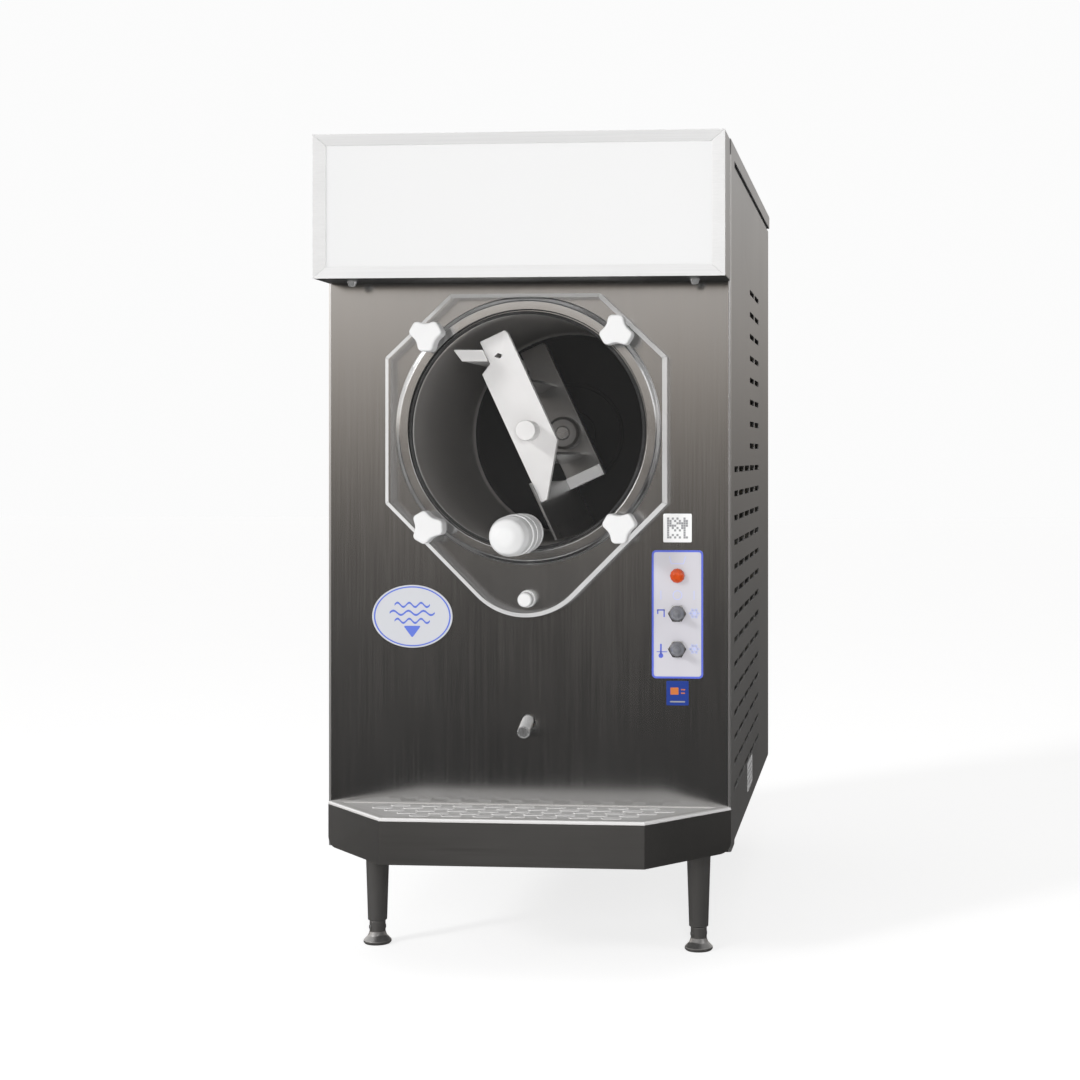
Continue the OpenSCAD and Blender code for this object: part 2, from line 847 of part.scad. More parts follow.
module fan_shroud() {
    color("#55585a") at_panel() {
        difference() {
            block([shroud_x, cond_y0, cond_z0], [duct_x + sheet_t, cond_y1, cond_z1]);
            block([shroud_x - 1, cond_y0 + sheet_t, cond_z0 + sheet_t],
                  [duct_x, cond_y1 - sheet_t, cond_z1 - sheet_t]);
            rod_x(fan_r + 6, shroud_x, duct_end, y = fan_y, z = fan_z);
        }
        difference() {
            rod_x(fan_r + 7.5, duct_x + sheet_t, duct_end, y = fan_y, z = fan_z);
            rod_x(fan_r + 6, duct_x, duct_end + 1, y = fan_y, z = fan_z);
        }
    }
}

fan_shaft_r = 4;
fan_motor_r = 38;

module fan_motor() {
    color("#2a2c30") at_panel() difference() {
        union() {
            for (a = [45, 135]) {
                translate([duct_end, fan_y, fan_z]) rotate([a, 0, 0])
                    translate([0, -fan_r - 7, -6]) cube([3, 2 * fan_r + 14, 12]);
            }
            rod_x(fan_motor_r, duct_end + 3, duct_end + 48, y = fan_y, z = fan_z);
        }
        rod_x(fan_shaft_r + run_gap, duct_end - 1, duct_end + 30, y = fan_y, z = fan_z);
    }
}

module fan_blade() {
    color("#8b9096") at_panel() {
        rod_x(18, duct_end - 26, duct_end - 6, y = fan_y, z = fan_z);
        rod_x(fan_shaft_r, duct_end - 6, duct_end + 26, y = fan_y, z = fan_z);
        intersection() {
            for (a = [0:72:359]) {
                translate([duct_end - 16, fan_y, fan_z]) rotate([a, 0, 0]) rotate([0, 0, 28])
                    translate([-1, -26, 0]) cube([2, 52, fan_r]);
            }
            difference() {
                rod_x(fan_r, duct_end - 40, duct_end - 3, y = fan_y, z = fan_z);
                rod_x(16, duct_end - 41, duct_end + 1, y = fan_y, z = fan_z);
            }
        }
    }
}

// One straight stretch of pipe between two points
module pipe(a, b, r) {
    run = b - a;
    len = norm(run);
    translate(a) rotate([0, acos(run.z / len), atan2(run.y, run.x)]) cylinder(r = r, h = len);
}

// A pipe through a list of corners, with a fitting at each bend
module pipe_run(points, fitting = 0.6) {
    for (i = [0:len(points) - 2]) {
        pipe(points[i], points[i + 1], pipe_r);
        if (i > 0) translate(points[i]) sphere(pipe_r + fitting);
    }
}

// One bend of the drip tube: a short barrel across both stretches
module elbow(at, r) {
    translate(at) rotate([0, 90, 0]) cylinder(r = r, h = 2 * r, center = true);
}

jacket_tap = [40, axis_z - shell_r - 2];
line_x = cond_x + cond_t / 2;
hot_y = cond_y1 + 15;
cold_y = bore_end + 8;

module refrigerant_lines() {
    hot_z = fan_z + 86;
    low_z = leg_h + 80;
    tap_z = axis_z - sqrt(pow(foam_r - foam_t / 2, 2) - pow(jacket_tap.x, 2));
    drop_z = leg_h + 40;
    comp_edge = comp_y + sqrt(pow(comp_r, 2) - pow(comp_x - jacket_tap.x, 2)) - 2;
    color("#b87333") at_panel() {
        pipe_run([[comp_x, comp_y + comp_r - 2, leg_h + 90], [comp_x, hot_y, leg_h + 90],
                  [comp_x, hot_y, hot_z], [line_x, hot_y, hot_z], [line_x, cond_y1 - 2, hot_z]]);
        pipe_run([[line_x, cond_y1 - 2, low_z], [line_x, cold_y, low_z],
                  [-jacket_tap.x, cold_y, low_z], [-jacket_tap.x, cold_y, tap_z],
                  [-jacket_tap.x, bore_end - 4, tap_z]]);
        translate([-jacket_tap.x, cold_y, low_z + 40]) cylinder(r = 11, h = 70);
        pipe_run([[jacket_tap.x, bore_end - 4, tap_z], [jacket_tap.x, cold_y, tap_z],
                  [jacket_tap.x, cold_y, drop_z], [jacket_tap.x, comp_edge, drop_z]]);
    }
}

// ---- controls, badge and labels ------------------------------------------------------

box_half = overlay_in - 2 * sheet_t - post_w - 0.5;
box_d = 66;

module control_box() {
    z0 = switch_z - switch_pitch - 34;
    z1 = lamp_z + 24;
    color("#777b7d") at_panel() difference() {
        block([control_x - box_half, sheet_t, z0], [control_x + box_half, box_d, z1]);
        block([control_x - box_half + 1.2, sheet_t - 1, z0 + 1.2],
              [control_x + box_half - 1.2, box_d - 1.2, z1 - 1.2]);
    }
}

module control_overlay() {
    color("#dcdce4") at_panel() slab_y(-overlay_t, 0) difference() {
        translate([control_x, overlay_z]) round_rect(overlay_w, overlay_h, 4);
        for (z = [lamp_z, switch_z, switch_z - switch_pitch]) {
            translate([control_x, z]) circle(bushing_r + part_gap);
        }
    }
}

module indicator_lamp() {
    dome = [for (a = [90:-15:0]) [lamp_r * sin(a), -overlay_t - 3 - 5 * cos(a)]];
    color("#d9480f") at_panel() turned_y(concat(
        [[0, 22], [bushing_r, 22], [bushing_r, -overlay_t], [lamp_r, -overlay_t]], dome),
        x = control_x, z = lamp_z);
}

module toggle_nuts() {
    color("#9ea1a4") at_panel() for (i = [0, 1]) {
        translate([control_x, 0, switch_z - i * switch_pitch]) difference() {
            union() {
                translate([0, -overlay_t, 0]) rotate([90, 0, 0])
                    cylinder(r = 9.4, h = hex_t, $fn = 6);
                rod_y(bushing_r, -overlay_t, 40);
            }
            rod_y(boot_r + part_gap, -overlay_t - hex_t - 1, -overlay_t - 0.8);
        }
    }
}

// A switch's rubber boot with the bat lever inside it; it rocks about the boot's base
module toggle(i) {
    e = boot_y;
    color("#8d9093") at_panel() turned_y([
        [0, e], [boot_r - 0.2, e], [boot_r - 0.2, e - 1.6], [boot_r - 1, e - 4],
        [boot_r - 3, e - 6.4], [3.1, e - 8], [3.6, e - 14], [2.6, e - 16], [0, e - 16.8]],
        x = control_x, z = switch_z - i * switch_pitch);
}

module upper_toggle() { toggle(0); }
module lower_toggle() { toggle(1); }

badge_z = axis_z - 186;
badge_w = 82;
badge_h = 63;

module oval_badge() {
    color("#eef0fa") at_panel() translate([-half_w + 86, 0, badge_z])
        slab_y(-0.8, 0) scale([badge_w, badge_h] / 2) circle(1);
}

sticker_w = 22;
sticker_h = 24.2;
side_label = [80, 32];

module labels() {
    sticker_top = overlay_top - overlay_h - 2.5;
    color("#e9e9e6") at_panel() {
        block([control_x - label_side / 2, -label_t, label_top - label_side],
              [control_x + label_side / 2, 0, label_top]);
        block([control_x - sticker_w / 2, -label_t, sticker_top - sticker_h],
              [control_x + sticker_w / 2, 0, sticker_top]);
        block([skin_x, 260, leg_h + 16], [skin_x + label_t, 260 + side_label.x, leg_h + 16 + side_label.y]);
    }
}

// ---- tray and tube -------------------------------------------------------------------

// Half of the tray's width at a distance in front of the panel, inset from its slanted side
function tray_half(out, inset) =
    half_w - (half_w - tray_front_half) * out / tray_d
    - inset * norm([tray_d, half_w - tray_front_half]) / tray_d;

// Plan of the tray, inset all round
module tray_plan(inset, rear = 0) {
    front = tray_d - inset;
    polygon([[-tray_half(rear, inset), -rear], [-tray_half(front, inset), -front],
             [tray_half(front, inset), -front], [tray_half(rear, inset), -rear]]);
}

tray_top = leg_h + tray_h;
grid_t = 2.5;
sink_z = leg_h + 18;
sink_in = 14;
corner_r = 10;

module drip_tray() {
    lip = sheet_t;
    color(dark_steel) at_panel() intersection() {
        difference() {
            translate([0, 0, leg_h]) linear_extrude(tray_h) tray_plan(0);
            translate([0, 0, tray_top - grid_t - 0.8]) linear_extrude(5) tray_plan(tray_rim, 4);
            translate([0, 0, sink_z]) linear_extrude(tray_h) tray_plan(sink_in, 9);
            difference() {
                translate([0, 0, leg_h - 1]) linear_extrude(tray_h - 4) tray_plan(lip, sheet_t);
                translate([0, 0, sink_z - lip]) linear_extrude(tray_h)
                    tray_plan(sink_in - lip, 9 - lip);
            }
        }
        slab_y(-tray_d - 1, 1) union() {
            translate([-half_w, leg_h + corner_r]) square([2 * half_w, tray_h]);
            translate([-half_w + corner_r, leg_h]) square([2 * (half_w - corner_r), tray_h]);
            for (sx = [-1, 1]) {
                translate([sx * (half_w - corner_r), leg_h + corner_r]) circle(corner_r);
            }
        }
    }
}

grid_rows = 5;
grid_row_pitch = 13.5;
grid_slot_w = 6;

module drip_grid() {
    z = tray_top - grid_t - 0.8;
    color(steel) at_panel() translate([0, 0, z + part_gap]) linear_extrude(grid_t) difference() {
        tray_plan(tray_rim + 0.6, 4.6);
        for (row = [0:grid_rows - 1]) {
            out = 16 + row * grid_row_pitch;
            room = tray_half(out + grid_slot_w, tray_rim + 8) - grid_slot_l / 2;
            shift = row % 2 == 0 ? 0 : grid_pitch / 2;
            for (i = [-8:8]) {
                x = i * grid_pitch + shift;
                if (abs(x) < room) {
                    translate([x, -out]) round_rect(grid_slot_l, grid_slot_w, 2.9);
                }
            }
        }
    }
}

// The drip tube's route, from its mouth to the seal housing
tube_points = [
    [0, -tube_out, tube_z - tube_out * tan(tube_slope)],
    [0, tube_turn_y, tube_z + tube_turn_y * tan(tube_slope)],
    [0, tube_riser_y, tube_z + tube_turn_y * tan(tube_slope)],
    [0, tube_riser_y, axis_z - 32 + 0.2]
];

// The same route, run past both ends
bore_points = [
    tube_points[0] + (tube_points[0] - tube_points[1]) / 30, tube_points[1], tube_points[2],
    tube_points[3] + [0, 0, 1]
];

module drip_tube() {
    color(bright_steel) at_panel() difference() {
        union() {
            for (i = [0:2]) {
                pipe(tube_points[i], tube_points[i + 1], tube_r);
            }
            for (i = [1:2]) {
                elbow(tube_points[i], tube_r + 0.6);
            }
        }
        for (i = [0:2]) {
            pipe(bore_points[i], bore_points[i + 1], tube_bore);
        }
        for (i = [1:2]) {
            elbow(tube_points[i], tube_bore + 0.2);
        }
    }
}

// ---- hopper --------------------------------------------------------------------------

// The hopper's plan between two heights, grown by an amount
module hopper_block(grow, z0, z1) {
    block([-hopper_w / 2 - grow, hopper_y - grow, z0],
          [hopper_w / 2 + grow, hopper_y + hopper_d + grow, z1]);
}

module hopper() {
    color(bright_steel) at_panel() difference() {
        union() {
            hopper_block(0, hopper_floor, top_z);
            hopper_block(rim_w, top_z, top_z + sheet_t);
            translate([0, spout_y, axis_z + bore_r + 0.8])
                cylinder(r = spout_r, h = hopper_floor - axis_z - bore_r);
        }
        hopper_block(-hopper_t, hopper_floor + hopper_t, top_z + sheet_t + 1);
        translate([0, spout_y, axis_z + bore_r - 1])
            cylinder(r = spout_r - spout_wall, h = hopper_floor - axis_z - bore_r + hopper_t + 2);
    }
}

feed_top = 60;

module feed_tube() {
    z0 = axis_z + bore_r + 2;
    z1 = hopper_floor + feed_top;
    color(white_plastic) at_panel() translate([0, spout_y, 0]) difference() {
        translate([0, 0, z0]) cylinder(r = feed_r, h = z1 - z0);
        translate([0, 0, z0 - 1]) cylinder(r = feed_r - 3, h = z1 - z0 + 2);
        translate([0, 0, hopper_floor + 8]) rotate([90, 0, 0]) cylinder(r = 4, h = 30);
    }
}

module hopper_lid() {
    z0 = top_z + sheet_t;
    mid = hopper_y + hopper_d / 2;
    color(bright_steel) at_panel() {
        difference() {
            hopper_block(rim_w + lid_over, top_z + sheet_t - 1.2, lid_top);
            hopper_block(rim_w + lid_over - 1.5, top_z - 1, lid_top - 1.5);
        }
        hopper_block(rim_w - 4, z0 + part_gap, lid_top - 1.5);
        for (x = [-55, 45]) {
            block([x, mid - 6, lid_top], [x + 10, mid + 6, lid_top + 20]);
        }
        block([-45, mid - 6, lid_top + 12], [45, mid + 6, lid_top + 20]);
    }
}

// ---- power inlet ---------------------------------------------------------------------

cord_r = 4.8;

module cord_gland() {
    color(black) at_panel() difference() {
        turned_y([[0, rear_y - 20], [gland_r, rear_y - 20], [gland_r, rear_y], [14, rear_y],
                  [14, rear_y + 5], [11.5, rear_y + 7], [10, cabinet_d + gland_out],
                  [0, cabinet_d + gland_out]], x = gland_x, z = gland_z);
        rod_y(cord_r, rear_y - 21, cabinet_d + gland_out + 1, x = gland_x, z = gland_z);
    }
}

// ---- what is drawn -------------------------------------------------------------------

chassis();
front_panel();
left_side_panel();
right_side_panel();
rear_panel();
top_cover();
panel_screws();
legs();
header_box();
header_lens();
header_lamp();
header_nuts();
cylinder_flange();
freezing_cylinder();
evaporator_coil();
insulation();
seal_housing();
gearbox();
drive_motor();
v_belt();
compressor();
condenser();
fan_shroud();
fan_motor();
refrigerant_lines();
control_box();
control_overlay();
indicator_lamp();
toggle_nuts();
oval_badge();
labels();
drip_tray();
drip_tube();
hopper();
feed_tube();
cord_gland();
studs();
locating_peg();
dasher_frame();
scraper_blades();
drive_shaft();
driven_pulley();
motor_pulley();
fan_blade();
faceplate();
face_o_ring();
valve_body();
valve_plunger();
knob_upper_left();
knob_upper_right();
knob_lower_left();
knob_lower_right();
upper_toggle();
lower_toggle();
hopper_lid();
drip_grid();
foot_front_left();
foot_front_right();
foot_rear_left();
foot_rear_right();
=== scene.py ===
"""The looks of a countertop freezer for soft ice cream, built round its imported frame."""

import json
from math import cos, pi, radians, sin, tan

import bmesh
import bpy
from mathutils import Matrix, Vector

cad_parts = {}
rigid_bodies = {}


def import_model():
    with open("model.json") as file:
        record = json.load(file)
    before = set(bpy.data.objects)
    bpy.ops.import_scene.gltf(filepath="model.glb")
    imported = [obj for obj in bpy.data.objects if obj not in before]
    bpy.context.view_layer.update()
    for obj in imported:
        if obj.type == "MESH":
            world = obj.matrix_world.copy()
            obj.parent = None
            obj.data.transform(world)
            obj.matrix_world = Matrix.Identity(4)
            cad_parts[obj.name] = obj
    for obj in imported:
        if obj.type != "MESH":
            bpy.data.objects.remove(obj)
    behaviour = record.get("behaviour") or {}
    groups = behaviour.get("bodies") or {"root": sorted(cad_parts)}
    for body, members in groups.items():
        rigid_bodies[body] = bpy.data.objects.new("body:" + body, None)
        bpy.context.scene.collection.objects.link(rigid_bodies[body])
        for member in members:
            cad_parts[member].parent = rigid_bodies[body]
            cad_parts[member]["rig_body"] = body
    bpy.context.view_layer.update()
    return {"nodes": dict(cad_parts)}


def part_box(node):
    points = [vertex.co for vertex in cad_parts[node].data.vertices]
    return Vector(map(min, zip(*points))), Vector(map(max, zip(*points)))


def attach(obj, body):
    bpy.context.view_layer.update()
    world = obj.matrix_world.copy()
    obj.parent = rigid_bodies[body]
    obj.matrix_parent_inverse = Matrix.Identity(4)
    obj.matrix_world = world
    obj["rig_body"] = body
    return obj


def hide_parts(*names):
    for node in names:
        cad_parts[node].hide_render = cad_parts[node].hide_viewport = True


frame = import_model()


# ---- places, all read from the frame ---------------------------------------------------


def low(node):
    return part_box(node)[0]


def high(node):
    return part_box(node)[1]


def middle(node):
    return (low(node) + high(node)) / 2


PANEL_Y = low("front_panel").y
AXIS_Z = middle("cylinder_flange").z
HALF_W = high("front_panel").x
FLOOR_Z = low("foot_front_left").z
BASE_Z = low("front_panel").z
TOP_Z = high("top_cover").z
REAR_Y = high("top_cover").y
SHEET = 0.0015
PLATE_FRONT = low("faceplate").y
PLATE_BACK = high("faceplate").y
CONTROL_X = middle("control_overlay").x
VALVE_Z = middle("valve_plunger").z


# ---- camera, light and stage ---------------------------------------------------------------


def set_camera():
    """A level camera just right of the middle, turned a little to the left."""
    camera = bpy.data.cameras.new("camera")
    camera.lens = 67.4
    camera.sensor_width = 36
    camera.shift_x = -0.1553
    camera.shift_y = -0.0781
    holder = bpy.data.objects.new("camera", camera)
    holder.location = (0.3557, PANEL_Y - 1.9932, 0.502)
    holder.rotation_euler = (pi / 2, 0, 0.0879)
    bpy.context.scene.collection.objects.link(holder)
    bpy.context.scene.camera = holder


def set_light():
    """A soft sun from the left, wide panels above and to the sides, and a fill beside the camera."""
    sun = bpy.data.lights.new("soft_sun", "SUN")
    sun.energy = 1.05
    sun.angle = radians(9)
    holder = bpy.data.objects.new("soft_sun", sun)
    holder.visible_glossy = False
    holder.rotation_euler = Vector((0.78, 0.8, -0.55)).to_track_quat("-Z", "Y").to_euler()
    bpy.context.scene.collection.objects.link(holder)
    for name, place, size, power, glints in (
        ("top_panel", (-0.2, -0.6, 2.6), 1.8, 9, True),
        ("left_panel", (-1.9, -1.6, 1.5), 0.7, 8, True),
        ("right_panel", (2.2, -1.2, 1.4), 1.2, 5, True),
        ("front_fill", (0.42, -2.3, 0.7), 0.4, 16, False),
    ):
        light = bpy.data.lights.new(name, "AREA")
        light.size = size
        light.energy = power
        holder = bpy.data.objects.new(name, light)
        holder.location = place
        holder.visible_glossy = glints
        holder.rotation_euler = (Vector((0, 0, 0.5)) - Vector(place)).to_track_quat("-Z", "Y").to_euler()
        bpy.context.scene.collection.objects.link(holder)


# ---- finishes ----------------------------------------------------------------------------


class Wire:
    """A socket used as a number: an operator on it adds the Math node that works it out."""

    def __init__(self, tree, socket):
        self.tree = tree
        self.socket = socket

    def _math(self, operation, first, second):
        node = self.tree.nodes.new("ShaderNodeMath")
        node.operation = operation
        for value, socket in zip((first, second), node.inputs):
            if isinstance(value, Wire):
                self.tree.links.new(value.socket, socket)
            else:
                socket.default_value = value
        return Wire(self.tree, node.outputs[0])

    def __add__(self, other):
        return self._math("ADD", self, other)

    def __sub__(self, other):
        return self._math("SUBTRACT", self, other)

    def __rsub__(self, other):
        return self._math("SUBTRACT", other, self)

    def __mul__(self, other):
        return self._math("MULTIPLY", self, other)

    __radd__ = __add__
    __rmul__ = __mul__


class Finish:
    """One material: a Principled shader with its fixed values, and the nodes that vary it."""

    def __init__(self, slot, name, **fixed):
        self.slot = slot
        self.material = bpy.data.materials.new(name)
        self.material.use_nodes = True
        self.tree = self.material.node_tree
        self.shader = self.tree.nodes["Principled BSDF"]
        for key, value in fixed.items():
            self.shader.inputs[key.replace("_", " ")].default_value = value

    def node(self, kind, settings=(), inputs=(), output=0):
        made = self.tree.nodes.new("ShaderNode" + kind)
        for key, value in dict(settings).items():
            if key == "stops":
                while len(made.color_ramp.elements) < len(value):
                    made.color_ramp.elements.new(1)
                for element, (place, colour) in zip(made.color_ramp.elements, value):
                    element.position = place
                    element.color = colour if isinstance(colour, tuple) else (colour, colour, colour, 1)
            else:
                setattr(made, key, value)
        for key, value in dict(inputs).items():
            if isinstance(value, Wire):
                self.tree.links.new(value.socket, made.inputs[key])
            else:
                made.inputs[key].default_value = value
        return Wire(self.tree, made.outputs[output])

    def feed(self, **wires):
        for key, wire in wires.items():
            self.tree.links.new(wire.socket, self.shader.inputs[key.replace("_", " ")])

    def place(self, stretch=(1, 1, 1), turn=(0, 0, 0), shift=(0, 0, 0)):
        """Object coordinates, scaled, turned and moved."""
        coords = self.node("TexCoord", output=3)
        return self.node("Mapping", inputs={"Vector": coords, "Scale": stretch, "Rotation": turn,
                                            "Location": shift})

    def noise(self, scale, stretch=(1, 1, 1), detail=3, rough=0.55, turn=(0, 0, 0)):
        return self.node("TexNoise", inputs={"Vector": self.place(stretch, turn), "Scale": scale,
                                             "Detail": detail, "Roughness": rough})

    def mask(self, value, start, end):
        """Rises from 0 to 1 as value goes from start to end."""
        return self.node("MapRange", {"interpolation_type": "SMOOTHSTEP"},
                         {"Value": value, "From Min": start, "From Max": end})

    def mix(self, factor, first, second):
        return self.node("Mix", {"data_type": "RGBA"}, {0: factor, 6: first, 7: second}, output=2)

    def bump(self, height, strength, distance=0.0004):
        self.feed(Normal=self.node("Bump", inputs={"Height": height, "Strength": strength,
                                                   "Distance": distance}))

    def rims(self, radius=0.0015):
        """1 on worn convex rims, 0 on flat faces."""
        return self.mask(self.node("NewGeometry", output=7), 0.51, 0.6)


def grey(level, warm=0.0):
    return (level * (1 + warm), level, level * (1 - warm), 1)


ALONG = {"x": (0.012, 1, 1), "y": (1, 0.012, 1), "z": (1, 1, 0.012)}


def brushed(slot, name, tone, roughness, grain="z", depth=0.1, warm=0.02, smears=0.1, metal=1.0):
    """Sheet steel with a fine grain one way, faint cloudy smears and brighter rims."""
    finish = Finish(slot, name, Metallic=metal)
    lines = finish.noise(900, ALONG[grain], detail=2)
    bands = finish.noise(60, ALONG[grain], detail=2)
    clouds = finish.noise(5, (1, 1, 0.6), detail=4)
    tint = finish.mix(lines * 0.35 + bands * 0.35 + clouds * 0.3, grey(tone * 0.8, warm),
                      grey(tone * 1.2, warm))
    finish.feed(Base_Color=finish.mix(finish.rims() * 0.5, tint, grey(min(1, tone * 1.5))),
                Roughness=roughness + (clouds - 0.5) * smears + (lines - 0.5) * 0.1)
    finish.bump(lines * 0.7 + bands * 0.3, depth, 0.0003)
    return finish


def turned_metal(slot, name, tone, roughness, warm=0.0, metal=1.0, depth=0.12):
    """Machined metal: fine turning marks, small dents and rubbed rims."""
    finish = Finish(slot, name, Metallic=metal)
    marks = finish.noise(220, (1, 6, 1), detail=3)
    dirt = finish.noise(25, detail=4)
    tint = finish.mix(dirt, grey(tone * 0.85, warm), grey(min(1, tone * 1.12), warm))
    finish.feed(Base_Color=finish.mix(finish.rims() * 0.6, tint, grey(min(1, tone * 1.4))),
                Roughness=roughness + (dirt - 0.5) * 0.16 + (marks - 0.5) * 0.08)
    finish.bump(marks * 0.5 + dirt * 0.5, depth, 0.0003)
    return finish


def moulded(slot, name, colour, roughness, orange_peel=0.1, soil=0.06, coat=0.0):
    """Moulded plastic: a faint orange peel, dusty blotches and rubbed rims."""
    finish = Finish(slot, name, Coat_Roughness=0.15)
    peel = finish.noise(700, detail=2)
    blotch = finish.noise(30, detail=4)
    shade = tuple(c * (1 - soil * 2.5) for c in colour)
    tint = finish.mix(finish.mask(blotch, 0.35, 0.7), (*shade, 1), (*colour, 1))
    lighter = tuple(min(1, c * 1.15 + 0.01) for c in colour)
    finish.feed(Base_Color=finish.mix(finish.rims() * 0.5, tint, (*lighter, 1)),
                Roughness=roughness + (blotch - 0.5) * 0.18)
    if coat:
        finish.feed(Coat_Weight=coat + (blotch - 0.5) * 0.2)
    finish.bump(peel * 0.6 + blotch * 0.4, orange_peel, 0.0003)
    return finish


def painted(slot, name, colour, roughness=0.45):
    """Sprayed paint with a coarse peel, grime and chipped rims."""
    finish = Finish(slot, name, Specular_IOR_Level=0.4)
    peel = finish.noise(350, detail=2)
    grime = finish.noise(12, detail=5)
    dark = tuple(c * 0.55 for c in colour)
    tint = finish.mix(finish.mask(grime, 0.3, 0.65), (*dark, 1), (*colour, 1))
    chips = finish.rims() * finish.mask(finish.noise(90, detail=3), 0.5, 0.62)
    finish.feed(Base_Color=finish.mix(chips, tint, grey(0.45)),
                Metallic=chips * 0.8,
                Roughness=roughness + (grime - 0.5) * 0.25)
    finish.bump(peel, 0.2, 0.0004)
    return finish


def spangled(slot, name, tone):
    """Galvanised sheet: zinc spangles in slightly different greys."""
    finish = Finish(slot, name, Metallic=0.9)
    cells = finish.node("TexVoronoi", {"feature": "F1"}, {"Vector": finish.place(), "Scale": 90}, output=1)
    patch = finish.node("SeparateColor", inputs={"Color": cells})
    dull = finish.noise(14, detail=4)
    finish.feed(Base_Color=finish.mix(patch * 0.7 + dull * 0.3, grey(tone * 0.75), grey(tone * 1.25)),
                Roughness=0.42 + patch * 0.14)
    finish.bump(patch * 0.6 + dull * 0.4, 0.08)
    return finish


def finned(slot, name):
    """Raw aluminium fins, packed side by side along the coil."""
    finish = Finish(slot, name, Metallic=1.0)
    wave = finish.node("TexWave", {"bands_direction": "Y", "wave_profile": "TRI"},
                       {"Vector": finish.place(), "Scale": 95, "Distortion": 0.4, "Detail": 1})
    dust = finish.noise(20, detail=5)
    finish.feed(Base_Color=finish.mix(wave * 0.6 + dust * 0.3, grey(0.16), grey(0.72)),
                Roughness=0.5 + (dust - 0.5) * 0.3)
    finish.bump(wave, 0.7, 0.001)
    return finish


def foamed(slot, name):
    """Sprayed foam insulation with a skin full of small bubbles."""
    finish = Finish(slot, name, Roughness=0.9)
    bubbles = finish.node("TexVoronoi", inputs={"Vector": finish.place(), "Scale": 160})
    lumps = finish.noise(18, detail=5)
    finish.feed(Base_Color=finish.mix(lumps, (0.62, 0.5, 0.27, 1), (0.9, 0.82, 0.6, 1)))
    finish.bump(lumps + bubbles * 0.5, 0.6, 0.002)
    return finish


def rubber(slot, name, colour, roughness=0.6):
    """Rubber: fine matt skin, paler where it has been rubbed."""
    finish = Finish(slot, name, Specular_IOR_Level=0.35)
    skin = finish.noise(900, detail=2)
    bloom = finish.noise(40, detail=4)
    pale = tuple(c * 1.5 + 0.02 for c in colour)
    finish.feed(Base_Color=finish.mix(finish.mask(bloom, 0.45, 0.75) * 0.6, (*colour, 1), (*pale, 1)),
                Roughness=roughness + (bloom - 0.5) * 0.2)
    finish.bump(skin * 0.7 + bloom * 0.3, 0.15)
    return finish


def clear_sheet(name, veil, glow, roughness):
    """Clear acrylic: hairline scratches and a little haze from wiping."""
    finish = Finish("clear_plate", name, IOR=1.49)
    scratches = finish.noise(300, (0.04, 1, 1), detail=2, turn=(0, 0.5, 0))
    haze = finish.noise(9, detail=4)
    finish.feed(Base_Color=finish.mix(haze, grey(glow * 0.92), grey(glow)),
                Roughness=roughness + (haze - 0.5) * 0.06 + finish.mask(scratches, 0.55, 0.8) * 0.2,
                Alpha=veil + (haze - 0.5) * veil * 0.6)
    return finish


def lit_panel(name, tone, power):
    """White acrylic with lamps behind it: a shade dimmer towards its ends."""
    finish = Finish("lens", name, Emission_Strength=power)
    across = finish.node("SeparateXYZ", inputs={"Vector": finish.place((5, 1, 1))})
    cloudy = finish.noise(6, detail=3)
    ends = finish.mask(across * across, 0.5, 1.4)
    finish.feed(Base_Color=finish.mix(cloudy, grey(tone * 0.97), grey(tone)),
                Emission_Color=finish.mix(ends * 0.7 + cloudy * 0.15, (1, 1, 1, 1), (0.86, 0.88, 0.9, 1)),
                Roughness=0.24 + cloudy * 0.1)
    return finish


def glowing(slot, name, colour, glow):
    """Clear coloured lens over a small lamp, streaked by its ribs."""
    finish = Finish(slot, name, Emission_Strength=glow, Coat_Roughness=0.08)
    ribs = finish.noise(260, (1, 0.15, 1), detail=2)
    deep = tuple(c * 0.45 for c in colour)
    finish.feed(Base_Color=finish.mix(ribs, (*deep, 1), (*colour, 1)),
                Emission_Color=finish.mix(ribs, (*deep, 1), (*colour, 1)),
                Coat_Weight=0.6 + ribs * 0.3,
                Roughness=0.2 + ribs * 0.1)
    finish.bump(ribs, 0.3)
    return finish


def printed(slot, name, colour, roughness=0.35):
    """Printed film: an even ink with a trace of screen grain and scuffs."""
    finish = Finish(slot, name, Coat_Roughness=0.2)
    grain = finish.noise(1400, detail=1)
    scuff = finish.noise(45, (1, 1, 0.3), detail=4)
    worn = tuple(c * 0.88 for c in colour)
    finish.feed(Base_Color=finish.mix(finish.mask(scuff, 0.5, 0.8) * 0.6 + grain * 0.2, (*colour, 1),
                                      (*worn, 1)),
                Coat_Weight=0.2 + scuff * 0.2,
                Roughness=roughness + (scuff - 0.5) * 0.2)
    finish.bump(grain, 0.05)
    return finish


STEEL = brushed("steel", "panel_steel", 0.6, 0.18, warm=0.01)
SKIN_STEEL = brushed("steel", "skin_steel", 0.44, 0.44, grain="z", warm=0.0)
COVER_STEEL = brushed("steel", "cover_steel", 0.55, 0.33, grain="y", warm=0.0)
# Lighter copy of the panel steel for the rounded folds: a painted highlight along each fold line.
FOLD_HIGHLIGHT_STEEL = brushed("steel", "fold_painted_highlight_steel", 0.9, 0.3, warm=0.01, metal=0.95)
FRAME_STEEL = brushed("bright_steel", "header_frame", 0.76, 0.4, grain="x", depth=0.05, warm=0.0,
                      metal=0.35)
RING_STEEL = turned_metal("polished", "ring_steel", 0.92, 0.17)
BRIGHT = turned_metal("bright_steel", "bright_steel", 0.82, 0.26)
NICKEL = turned_metal("bright_steel", "nickel_plate", 0.95, 0.2, metal=0.8)
BORE_STEEL = turned_metal("bright_steel", "bore_steel", 0.46, 0.36, warm=0.04, metal=0.5, depth=0.01)
